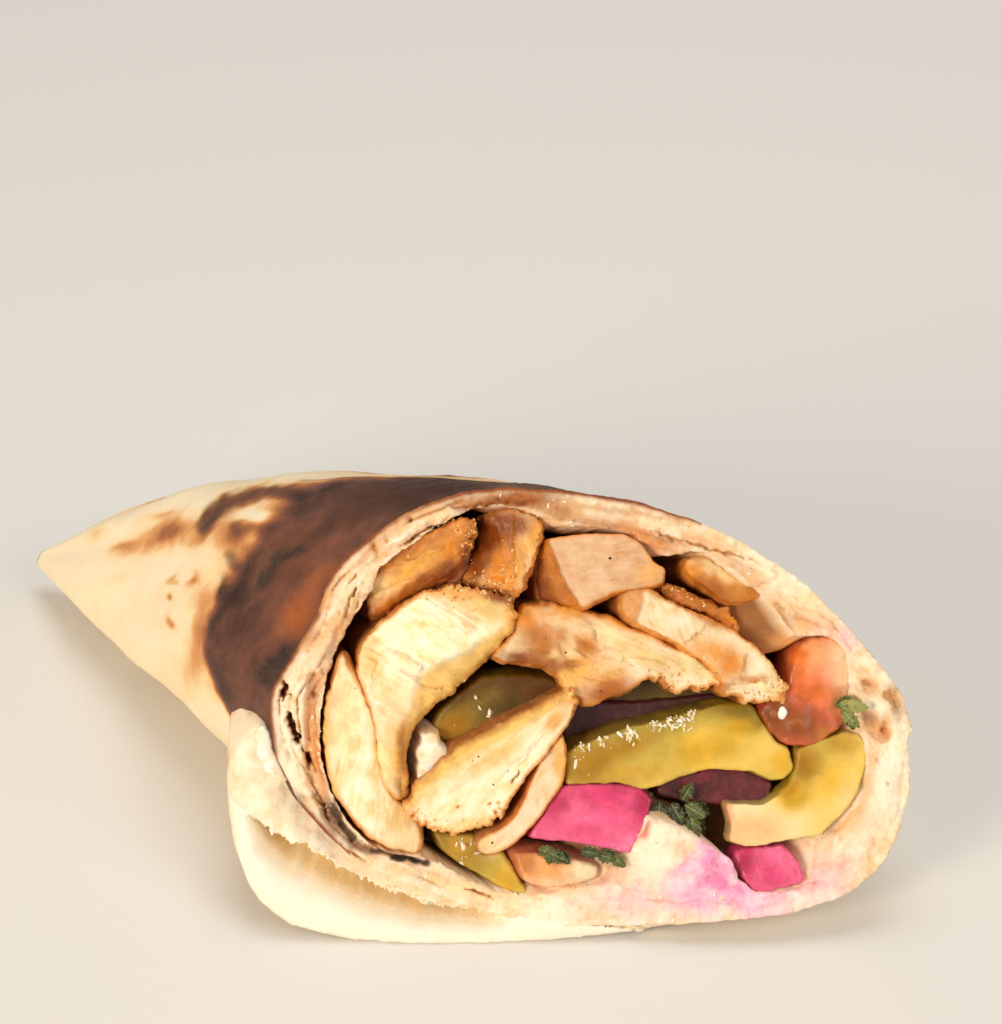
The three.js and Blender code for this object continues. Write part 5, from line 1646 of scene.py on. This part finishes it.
# parsley leaves: foot on the cut, how far back, length, width, the way they point, and how they tip up
parsley = {
    "middle": [
        ((12.6, 23.6), 3.4, 5.0, 3.0, 150, 20), ((12.8, 23), 3.0, 5.2, 3.0, 205, 15),
        ((13.6, 22.2), 2.6, 4.6, 2.8, 265, 25), ((15, 22), 2.2, 4.2, 2.4, 300, 30),
        ((16.4, 22.6), 1.8, 3.6, 2.2, 60, 35), ((16.6, 22), 1.6, 4.0, 2.4, 330, 25),
        ((17.6, 20.6), 1.8, 4.6, 2.6, 285, 20), ((18.4, 19.6), 2.2, 3.6, 2.2, 250, 15),
        ((15.6, 20.6), 2.8, 4.0, 2.4, 235, 10),
    ],
    "inner": [
        ((17.6, 23), 4.2, 4.4, 2.8, 20, 15), ((18.6, 21.6), 3.6, 4.6, 2.6, 330, 10),
        ((19.6, 19.6), 3.2, 4.0, 2.4, 290, 10), ((15, 24), 4.6, 4.4, 2.6, 110, 10),
    ],
    "low": [
        ((-8.2, 15.6), 0.2, 3.2, 2.0, -10, 15), ((-6.8, 15.4), 0.0, 3.4, 2.2, -25, 15),
        ((-4.6, 15.6), 0.1, 2.6, 1.8, -60, 20), ((-1.4, 15.4), 0.2, 3.4, 1.9, -8, 15),
        ((1, 15), 0.0, 3.2, 1.9, -15, 20), ((3.2, 14.8), -0.1, 3.0, 1.7, -35, 25),
        ((-6, 15.9), 0.4, 2.8, 1.8, -95, 20), ((2.4, 15.3), 0.3, 2.4, 1.6, 5, 20),
    ],
    "side": [
        ((39.8, 39), 0.0, 4.8, 2.0, -6, 20), ((40, 38.2), -0.2, 4.0, 2.0, -44, 20),
        ((41.2, 37.2), 0.0, 2.6, 1.6, -66, 30), ((39.4, 38.6), 0.1, 3.0, 1.8, 30, 10),
    ],
}


def leaves(places, light):
    # toothed leaves, each a thin closed sheet folded a little along its middle
    along, across = np.meshgrid(np.linspace(0, 1, 21), np.linspace(-1, 1, 9), indexing="ij")
    rows, columns = along.shape
    shell = Shell()
    for index, (place, back, long, wide, turn, tip) in enumerate(places):
        teeth = 1 + 0.42 * np.abs(((along * 4.5 + 0.25) % 1) - 0.5) * 2 - 0.2
        half = wide / 2 * np.sin(np.pi * np.clip(along, 0.02, 0.985) ** 0.8) ** 0.75 * teeth
        x = long * along + 0.25 * np.abs(across) * half
        y = across * half
        z = 0.35 * np.abs(y) + 0.22 * np.sin(along * 15 + 2.1 * index) * np.abs(across) - 0.09 * x**1.4
        z += 0.1 * np.sin(across * 7 + index)
        angle, lift = math.radians(turn), math.radians(tip)
        ahead = math.cos(angle) * right + math.sin(angle) * upFace
        beside = -math.sin(angle) * right + math.cos(angle) * upFace
        rise = -math.cos(lift) * inward - math.sin(lift) * ahead
        ahead = math.cos(lift) * ahead - math.sin(lift) * inward
        foot = carry(np.array([place], float), np.array([float(back)]))[0]
        front = foot + x[..., None] * ahead + y[..., None] * beside + z[..., None] * rise
        both = np.vstack([front.reshape(-1, 3), (front - 0.14 * rise).reshape(-1, 3)])
        # shade: the group's light, a painted shade level, varied from leaf to leaf
        shade = np.full(len(both), light + 0.4 * math.sin(5.3 * index + 1))
        vein = np.abs(np.concatenate([across.ravel(), across.ravel()]))
        first = shell.add(both, shade=shade, vein=vein, along=np.concatenate([along.ravel(), along.ravel()]))
        n = rows * columns

        def corner(i, j, side):
            return first + side * n + i * columns + j

        for i in range(rows - 1):
            for j in range(columns - 1):
                quad = [(i, j), (i + 1, j), (i + 1, j + 1), (i, j + 1)]
                shell.faces.append(tuple(corner(a, b, 0) for a, b in quad))
                shell.faces.append(tuple(corner(a, b, 1) for a, b in reversed(quad)))
        border = [(i, 0) for i in range(rows)] + [(rows - 1, j) for j in range(1, columns)]
        border += [(i, columns - 1) for i in range(rows - 2, -1, -1)]
        border += [(0, j) for j in range(columns - 2, 0, -1)]
        shell.join([corner(a, b, 0) for a, b in border], [corner(a, b, 1) for a, b in border])
    return shell.mesh("leaves")


def strewnTree(material):
    # torn crumbs and shreds scattered where the surface is marked as strewn
    tree, add, given = newTree("strewn", {
        "Per Square Millimetre": 1.5, "Smallest": 0.12, "Largest": 0.4, "Stretch": 1.4, "Seed": 0,
        "Finish": material,
    })
    anyTurn, roughness = (6.28, 6.28, 6.28), 0.45 * mm
    marked = add("stored", "strewn", data_type="FLOAT")
    density = add("MULTIPLY", add("MULTIPLY", marked, given["Per Square Millimetre"]), 1 / mm**2)
    scatter = {"Mesh": given["Geometry"], "Density": density, "Seed": given["Seed"]}
    points = add("GeometryNodeDistributePointsOnFaces", inputs=scatter).outputs["Points"]
    shape = add("GeometryNodeMeshIcoSphere", inputs={"Radius": mm, "Subdivisions": 2}).outputs[0]
    spin = {1: anyTurn, "Seed": 3}
    turned = add("FunctionNodeRandomValue", inputs=spin, data_type="FLOAT_VECTOR").outputs[0]
    pick = add("POWER", add("random", 5), 2.2)
    span = {0: pick, 3: given["Smallest"], 4: given["Largest"]}
    size = add("ShaderNodeMapRange", inputs=span).outputs[0]
    scale = add("xyz", add("MULTIPLY", size, given["Stretch"]), size, add("MULTIPLY", size, 0.75))
    copies = {"Points": points, "Instance": shape, "Rotation": turned, "Scale": scale}
    placed = add("GeometryNodeInstanceOnPoints", inputs=copies).outputs[0]
    placed = add("store", placed, "shade", add("random", 9), domain="INSTANCE")
    uneven = {"Vector": add("position"), "Scale": 1 / roughness, "Detail": 1.0}
    push = add("ShaderNodeTexNoise", inputs=uneven).outputs["Color"]
    push = add("vector", push, (0.5, 0.5, 0.5), operation="SUBTRACT")
    moved = add("moved", add("real", placed), add("scaled", push, 0.5 * mm))
    add("NodeGroupOutput", inputs={0: add("painted", moved, given["Finish"])})
    return tree


def markedFaces(name, meshes, key):
    # the faces of some finished pieces that carry a mark, as one mesh to scatter on
    points, faces, marks = [], [], []
    for mesh in meshes:
        values = np.zeros(len(mesh.vertices))
        mesh.attributes[key].data.foreach_get("value", values)
        coords = np.zeros(len(mesh.vertices) * 3)
        mesh.vertices.foreach_get("co", coords)
        first = sum(len(p) for p in points)
        for polygon in mesh.polygons:
            corners = list(polygon.vertices)
            if values[corners].mean() > 0.03:
                faces.append([first + c for c in corners])
        points.append(coords.reshape(-1, 3))
        marks.append(values)
    mesh = bpy.data.meshes.new(name)
    mesh.from_pydata(np.vstack(points), [], faces)
    mesh.attributes.new("strewn", "FLOAT", "POINT").data.foreach_set("value", np.concatenate(marks))
    return mesh


# ---- finishes ----
def newMaterial(name):
    material = bpy.data.materials.new(name)
    material.use_nodes = True
    return material, partial(addNode, material.node_tree)


def marks(add, keys):
    return [add("mark", attribute_name=key) for key in keys.split()]


def finished(material, colour, rough, soft, bump=None, **more):
    # sets the shader: colour, roughness, how light sinks in (weight, reach by colour, mm) and bump
    tree = material.node_tree
    weight, radius, reach = soft
    sunk = {"Subsurface Weight": weight, "Subsurface Radius": radius, "Subsurface Scale": reach * mm}
    values = {"Base Color": colour, "Roughness": rough, **sunk}
    values.update({key.replace("_", " "): value for key, value in more.items()})
    if bump:
        height, strength, distance = bump
        raised = {"Height": height, "Strength": strength, "Distance": distance * mm}
        values["Normal"] = addNode(tree, "ShaderNodeBump", inputs=raised).outputs[0]
    feed(tree, tree.nodes["Principled BSDF"], values)
    return material


def textureAt(add, sizeMm, detail=2.0, rough=0.5, along=None):
    # fractal noise whose features are about sizeMm across
    if along:
        return add("noise", along, 1 / sizeMm, detail, rough)
    return add("noise", add("ShaderNodeTexCoord").outputs["Object"], 1 / (sizeMm * mm), detail, rough)


def cellsAt(add, sizeMm):
    return add("cells", add("ShaderNodeTexCoord").outputs["Object"], 1 / (sizeMm * mm))


def nudged(add, value, texture, amount):
    # a value moved up and down by a texture
    return add("MULTIPLY_ADD", add("SUBTRACT", texture, 0.5), amount, value)


def laid(add, colour, mark, low, high, share, tone):
    # a tone laid over a colour where a mark rises from low to high
    tone = srgb(tone) if isinstance(tone, str) else tone
    return add("mix", add("range", mark, low, high, 0.0, share), colour, tone)


def washOver(add, colour, texture, values=(0.72, 1.02), saturation=1.15):
    # a piece's own patches of colour, grained by its texture
    tone = add("ShaderNodeAttribute", attribute_name="wash").outputs["Color"]
    value = add("range", texture, 0.28, 0.72, *values)
    grained = {"Saturation": saturation, "Value": value, "Color": tone}
    grained = add("ShaderNodeHueSaturation", inputs=grained).outputs[0]
    share = add("MULTIPLY", *marks(add, "washed"), add("range", texture, 0.2, 0.45, 0.86, 1.0))
    return add("mix", share, colour, grained)


def breadMaterial():
    # thin floury flatbread browned on a hot plate: matte cream, glossy dark scorches, pale crumb
    material, add = newMaterial("toasted flatbread")
    toast, char, cut, crack, stain, soak, pocket, flour = marks(
        add, "toast char cut crack stain soak pocket flour")
    mottle = textureAt(add, 5, 5.0, 0.6)
    fine = textureAt(add, 0.9, 3.0)
    level = nudged(add, toast, mottle, add("MULTIPLY_ADD", toast, 0.5, 0.16))
    level = nudged(add, level, fine, add("MULTIPLY", toast, 0.16))
    skin = add("ramp", level, stops=[
        (0.0, "#f8e4c0"), (0.1, "#f5d6a4"), (0.22, "#e2a367"), (0.38, "#b06e40"), (0.54, "#83503a"),
        (0.72, "#5e3b2d"), (0.88, "#42281d"), (1.0, "#2c1c15"),
    ])
    skin = washOver(add, skin, fine, (0.8, 1.06), 1.05)
    skin = add("mix", char, skin, add("ramp", fine, stops=[(0.3, "#30211a"), (0.7, "#50382c")]))
    crumbTone = textureAt(add, 3.2, 5.0, 0.6)
    crumb = add("ramp", crumbTone, stops=[
        (0.3, "#fdf2dc"), (0.48, "#fae5c2"), (0.62, "#f2cfa0"), (0.75, "#e6b27c"),
    ])
    oily = add("ramp", mottle, stops=[(0.3, "#c07c44"), (0.5, "#e0a066"), (0.7, "#efbe86")])
    pink = textureAt(add, 2.6, 3.0)
    pink = add("ramp", pink, stops=[(0.3, "#fcdfe2"), (0.5, "#fac4d8"), (0.7, "#f6a2c8")])
    crumb = laid(add, crumb, flour, 0.0, 1.0, 0.85, "#fff6e2")
    crumb = laid(add, crumb, toast, 0.05, 0.6, 1.0, "#94512a")
    crumb = laid(add, crumb, soak, 0.05, 0.95, 0.95, oily)
    crumb = washOver(add, crumb, crumbTone, (0.86, 1.1), 1.05)
    # painted shade: the pocket under the loose end darkens with its depth
    crumb = laid(add, crumb, pocket, 0.0, 1.0, 0.6, "#d9bd86")
    crumb = laid(add, crumb, stain, 0.0, 0.95, 1.0, pink)
    crumb = laid(add, crumb, stain, 1.05, 1.8, 0.6, "#ea6aa8")
    # painted shade: the cut darkens into the gaps between sheets and the deeper splits
    crumb = laid(add, crumb, crack, 0.1, 0.6, 0.6, "#b9763e")
    crumb = laid(add, crumb, crack, 0.6, 1.0, 1.0, "#5a3016")
    crumb = add("mix", char, crumb, srgb("#2b2422"))
    skinSheen = add("range", level, 0.25, 0.7, 0.75, 0.55)
    sheens = {0: cut, 2: skinSheen, 3: add("range", soak, 0.2, 0.9, 0.8, 0.5)}
    rough = add("ShaderNodeMix", inputs=sheens).outputs[0]
    blistered = add("MULTIPLY", add("range", toast, 0.4, 0.8), add("range", mottle, 0.5, 0.62))
    blister = add("MULTIPLY", add("range", cellsAt(add, 1.3), 0.1, 0.5, 1.0, 0.0), blistered)
    height = add("MULTIPLY_ADD", textureAt(add, 0.45, 3.0), 0.5, add("MULTIPLY_ADD", blister, 1.2, fine))
    return finished(material, add("mix", cut, skin, crumb), rough, (0.12, (1.0, 0.5, 0.25), 1.2),
                    (height, 0.5, 0.25), Specular_IOR_Level=0.3)


def chickenMaterial():
    # roasted chicken: pale moist fibres on the cut, an orange-brown seasoned crust round it
    material, add = newMaterial("roast chicken")
    rim, side, crack, tone, crust, gold, down, roast, dull = marks(
        add, "rim side crack tone crust gold down roast dull")
    mottle = textureAt(add, 2.6, 4.0)
    fine = textureAt(add, 0.7, 3.0)
    grain = add("ShaderNodeAttribute", attribute_name="grain").outputs["Vector"]
    drawn = add("vector", grain, (0.2, 1, 0.6), operation="MULTIPLY")
    strand = textureAt(add, 0.7, 3.0, 0.6, along=drawn)
    level = nudged(add, mottle, strand, 0.55)
    pale = add("ramp", level, stops=[
        (0.22, "#f3cd8a"), (0.38, "#fae4ae"), (0.52, "#fef2cc"), (0.78, "#fffae4"),
    ])
    rosy = add("ramp", level, stops=[(0.25, "#cb956a"), (0.45, "#dbab80"), (0.7, "#e6bd94")])
    golden = add("ramp", fine, stops=[(0.3, "#d98a38"), (0.7, "#f3b768")])
    drab = add("ramp", fine, stops=[(0.3, "#b08a68"), (0.7, "#cfaa84")])
    gold = add("MULTIPLY", add("range", gold, 0.0, 1.0, 0.0, 0.9), add("range", mottle, 0.3, 0.65, 0.4, 1.0))
    dull = add("MULTIPLY", dull, add("range", mottle, 0.3, 0.7, 0.7, 1.0))
    meat = add("mix", gold, add("mix", tone, pale, rosy), golden)
    meat = add("mix", dull, meat, drab)
    reach = add("MULTIPLY", add("ADD", crust, 0.25), add("range", mottle, 0.3, 0.7, 0.55, 1.35))
    browned = add("range", add("DIVIDE", rim, add("ADD", reach, 0.05)), 0.1, 1.5, 1.0, 0.0)
    browned = add("MAXIMUM", browned, side)
    # roast moves the crust tone: real browning, and painted shade where it is negative
    crustTone = nudged(add, add("ADD", mottle, roast), fine, 0.16)
    # painted shade: the crust darkens right at the rim
    crustTone = add("SUBTRACT", crustTone, add("range", rim, 0.0, 0.5, 0.06, 0.0))
    brown = add("ramp", crustTone, stops=[
        (0.1, "#7a3b12"), (0.3, "#bb641e"), (0.46, "#dd8630"), (0.62, "#eea650"), (0.85, "#f8cb80"),
    ])
    colour = add("mix", add("MULTIPLY", browned, 0.92), meat, brown)
    colour = washOver(add, colour, nudged(add, mottle, strand, 0.5))
    # painted shade: the meat darkens in splits and cuts and at the foot of torn steps
    colour = laid(add, colour, crack, 0.05, 0.9, 0.45, "#c8873e")
    # painted shade: the sides darken the further they run back between the pieces
    colour = laid(add, colour, down, 0.5, 3.4, 0.74, "#8f4a1c")
    colour = laid(add, colour, down, 4.0, 14.0, 0.6, "#5e2c10")
    height = add("MULTIPLY_ADD", textureAt(add, 0.5, 3.0), 0.5, strand)
    rough = add("range", fine, 0.3, 0.7, 0.34, 0.58)
    return finished(material, colour, rough, (0.16, (1.0, 0.45, 0.22), 1.2), (height, 0.75, 0.28))


def wetFlesh(name, look):
    # wet, half clear flesh: clouded, with painted shade far down its sides, and a thin coat of brine or juice
    material, add = newMaterial(name)
    tint, side, down = marks(add, "tint side down")
    cloud = textureAt(add, look["cloud"], 4.0)
    fine = textureAt(add, look["fine"], 2.0)
    level = nudged(add, tint, cloud, look["clouding"])
    if "speckle" in look:
        level = nudged(add, level, fine, look["speckle"])
    colour = add("ramp", level, stops=look["flesh"])
    detail = fine
    if "seeds" in look:
        seeds = add("range", cellsAt(add, look["seeds"]), 0.18, 0.26, 1.0, 0.0)
        detail = add("MULTIPLY", seeds, add("range", tint, 0.12, 0.36, 0.6, 0.0))
        colour = add("mix", detail, colour, srgb("#e8b27c"))
    skin = look["skin"]
    skin = skin if isinstance(skin, str) else add("ramp", cloud, stops=skin)
    colour = laid(add, colour, side, 0.2, 0.8, look["skinned"], skin)
    colour = washOver(add, colour, cloud)
    # painted shade: the flesh darkens far down its sides
    colour = laid(add, colour, down, 2.0, 9.0, *look["shade"])
    sheen = cloud if look["cloudySheen"] else fine
    share, strength, distance = look["bump"]
    bump = (add("MULTIPLY_ADD", detail, share, cloud), strength, distance)
    return finished(material, colour, add("range", sheen, 0.3, 0.7, *look["rough"]), look["soft"], bump,
                    **look["coat"])


def pickleMaterial():
    # cucumber pickled in brine: wet, half clear flesh from olive at the skin to amber at the core
    return wetFlesh("pickled cucumber", {
        "cloud": 4, "fine": 0.8, "clouding": 0.22, "speckle": 0.07, "rough": (0.28, 0.44),
        "cloudySheen": True, "skin": [(0.3, "#5f4d15"), (0.6, "#8a7426")], "skinned": 0.7,
        "flesh": [
            (0.0, "#41310f"), (0.16, "#6a541c"), (0.36, "#a68c38"), (0.52, "#cdb14e"), (0.66, "#efcb62"),
            (0.82, "#f8d88e"), (1.0, "#fde0ae"),
        ],
        "shade": (0.85, "#2a1a08"), "soft": (0.35, (1.0, 0.7, 0.2), 2.2), "bump": (0.35, 0.35, 0.5),
        "coat": {"Specular_IOR_Level": 0.35, "Coat_Weight": 0.12, "Coat_Roughness": 0.2},
    })


def turnipMaterial():
    # turnip pickled with beetroot: wet magenta flesh, faintly fibrous
    return wetFlesh("pickled turnip", {
        "cloud": 2.4, "fine": 0.6, "clouding": 0.4, "speckle": 0.1, "rough": (0.28, 0.45),
        "cloudySheen": False, "skin": "#b02563", "skinned": 0.6,
        "flesh": [
            (0.0, "#4a1d20"), (0.16, "#6f2838"), (0.34, "#b83a62"), (0.55, "#e25a82"), (0.72, "#f27098"),
            (0.9, "#fb9cba"),
        ],
        "shade": (0.85, "#2c0c16"), "soft": (0.3, (1.0, 0.35, 0.5), 1.8), "bump": (0.5, 0.4, 0.35),
        "coat": {"Coat_Weight": 0.2, "Coat_Roughness": 0.2},
    })


def tomatoMaterial():
    # ripe tomato: soft wet coral flesh, browner where the jelly and seeds are
    return wetFlesh("tomato", {
        "cloud": 2.2, "fine": 0.8, "clouding": 0.35, "rough": (0.3, 0.5), "seeds": 2.6,
        "cloudySheen": False, "skin": "#a8351c", "skinned": 0.55,
        "flesh": [
            (0.0, "#7a2c16"), (0.2, "#a8482a"), (0.45, "#e4754c"), (0.65, "#f5966c"), (0.85, "#fbb48a"),
            (1.0, "#fdc9a4"),
        ],
        "shade": (0.8, "#3a120a"), "soft": (0.35, (1.0, 0.3, 0.15), 2.2), "bump": (0.8, 0.45, 0.4),
        "coat": {"Coat_Weight": 0.12, "Coat_Roughness": 0.25},
    })


def sauceMaterial():
    # garlic sauce: thick, white, slightly glossy
    material, add = newMaterial("garlic sauce")
    cloud = textureAt(add, 1.8, 4.0)
    level = add("MULTIPLY_ADD", *marks(add, "tint"), 0.3, cloud)
    colour = add("ramp", level, stops=[(0.3, "#efcf9e"), (0.5, "#fbe9c8"), (0.72, "#fffcf2")])
    return finished(material, colour, add("range", cloud, 0.3, 0.7, 0.4, 0.25), (0.35, (1.0, 0.9, 0.7), 1.5),
                    (textureAt(add, 0.9, 3.0), 0.4, 0.3))


def parsleyMaterial():
    # fresh flat parsley: dark green, waxy, with paler veins and a yellow tinge where it is thin
    material, add = newMaterial("parsley leaf")
    shade, vein, along = marks(add, "shade vein along")
    cloud = textureAt(add, 1.6, 3.0)
    level = add("MULTIPLY_ADD", shade, 0.45, add("MULTIPLY", cloud, 0.6))
    green = add("ramp", level, stops=[
        (0.15, "#2a2b10"), (0.4, "#474b1c"), (0.6, "#686c30"), (0.85, "#a09e54"),
    ])
    ribs = add("SINE", add("MULTIPLY_ADD", along, 44.0, add("MULTIPLY", vein, -9.0)))
    pale = add("MAXIMUM", add("range", vein, 0.0, 0.12, 0.7, 0.0), add("range", ribs, 0.8, 1.0, 0.0, 0.3))
    return finished(material, add("mix", pale, green, srgb("#9db36a")), 0.38, (0.12, (0.5, 1.0, 0.2), 0.6),
                    (add("MULTIPLY_ADD", ribs, 0.2, cloud), 0.4, 0.2))


def crumbMaterial(name, stops):
    # torn crumbs: the colour of what they came off, each one a little different
    material, add = newMaterial(name)
    level = add("MULTIPLY_ADD", *marks(add, "shade"), 0.7, add("MULTIPLY", textureAt(add, 0.6), 0.3))
    return finished(material, add("ramp", level, stops=stops), 0.5, (0.15, (1.0, 0.6, 0.3), 0.6))


bread = breadMaterial()
leaf = parsleyMaterial()
goldCrumb = crumbMaterial("browned chicken crumbs", [
    (0.12, "#c06e26"), (0.35, "#dd9744"), (0.65, "#efb96c"), (0.9, "#fadc9e"),
])
paleCrumb = crumbMaterial("white chicken shreds", [(0.2, "#f0dcae"), (0.5, "#faeecb"), (0.8, "#fffbea")])
breadCrumb = crumbMaterial("bread crumbs", [(0.2, "#f3d9ac"), (0.5, "#fbebcd"), (0.8, "#fff8e6")])
pepperFlake = crumbMaterial("ground black pepper", [(0.3, "#1d130d"), (0.7, "#4a2d18")])
meat = chickenMaterial()
pickle = pickleMaterial()
turnip = turnipMaterial()
tomato = tomatoMaterial()
sauce = sauceMaterial()
strewer = strewnTree(goldCrumb)
rolled, loose = rolledBread(), looseEnd()
addPiece("rolledBread", rolled, bread, ["flatbread"], "toasted_flatbread")
addPiece("looseEnd", loose, bread, [], "toasted_flatbread")


def scatter(name, sources, mark, finish, slot, values):
    # crumbs or flakes strewn over finished pieces where they carry the mark
    bits = grown(name, markedFaces(name + "Strewn", sources, mark), strewer, {**values, "Finish": finish})
    addPiece(name, bits, finish, [], slot)


scatter("breadCrumbs", [rolled, loose], "strewn", breadCrumb, "toasted_flatbread", {
    "Per Square Millimetre": 2.2, "Smallest": 0.08, "Largest": 0.3, "Stretch": 2.4, "Seed": 4,
})
print("stage: bread")

meatRelief = meatReliefTree(meat)
chickenMeshes = []
for index, (name, piece) in enumerate(chickenPieces.items()):
    plain = cutPiece("chicken " + name, piece, chickenTones, swellTo=0.5)
    shaped = grown("chicken" + name.title(), plain, meatRelief, {
        "Fibre Depth": 0.3 * piece["fibre"], "Split Depth": 0.5 * piece["fibre"],
        "Lump Depth": piece.get("lumps", 0.3), "Crag Depth": piece.get("crag", 0.22), "Seed": index,
        "Finish": meat,
    })
    chickenMeshes.append(shaped)
    addPiece("chicken" + name.title(), shaped, meat, ["chicken_" + name], "grilled_chicken")
scatter("chickenCrumbs", chickenMeshes, "strewn", goldCrumb, "grilled_chicken", {
    "Per Square Millimetre": 2.6, "Smallest": 0.07, "Largest": 0.26, "Stretch": 1.9, "Seed": 1,
})
scatter("pepperFlakes", chickenMeshes, "pepper", pepperFlake, "grilled_chicken", {
    "Per Square Millimetre": 0.008, "Smallest": 0.1, "Largest": 0.22, "Stretch": 1.3, "Seed": 2,
})
print("stage: chicken")

wetRelief = meatReliefTree(pickle)
pickleMeshes = []
wetPieces = [
    ("pickle", picklePieces, pickleTones, pickle, "pickled_cucumber"),
    ("turnip", turnipPieces, turnipTones, turnip, "pickled_turnip"),
    ("tomato", tomatoPieces, tomatoTones, tomato, "tomato"),
    ("sauce", saucePieces, {}, sauce, "garlic_sauce"),
]
for kind, pieces, tones, finish, slotName in wetPieces:
    for index, (name, piece) in enumerate(pieces.items()):
        plain = cutPiece(kind + " " + name, piece, tones, 0.36, piece.get("depth", 36.0))
        shaped = grown(kind + name.title(), plain, wetRelief, {
            "Fibre Depth": 0.02, "Split Depth": 0.0, "Lump Depth": 0.16, "Crag Depth": 0.1, "Seed": index,
            "Finish": finish,
        })
        node = {"pickle deep": None, "sauce pool": "garlic_sauce"}.get(kind + " " + name, kind + "_" + name)
        addPiece(kind + name.title(), shaped, finish, [node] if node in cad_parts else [], slotName)
        if kind == "pickle":
            pickleMeshes.append(shaped)
scatter("paleShreds", pickleMeshes, "strewn", paleCrumb, "grilled_chicken", {
    "Per Square Millimetre": 6.0, "Smallest": 0.08, "Largest": 0.3, "Stretch": 3.2, "Seed": 6,
})
print("stage: pickles, turnip, tomato and sauce")

# painted shade and light: the leaves deep in the hollow get darker green, the ones at the side lighter
for name, light in {"middle": 0.1, "inner": 0.0, "low": 0.2, "side": 0.85}.items():
    addPiece("parsley" + name.title(), leaves(parsley[name], light), leaf, ["herb_" + name], "parsley")
print("stage: parsley")
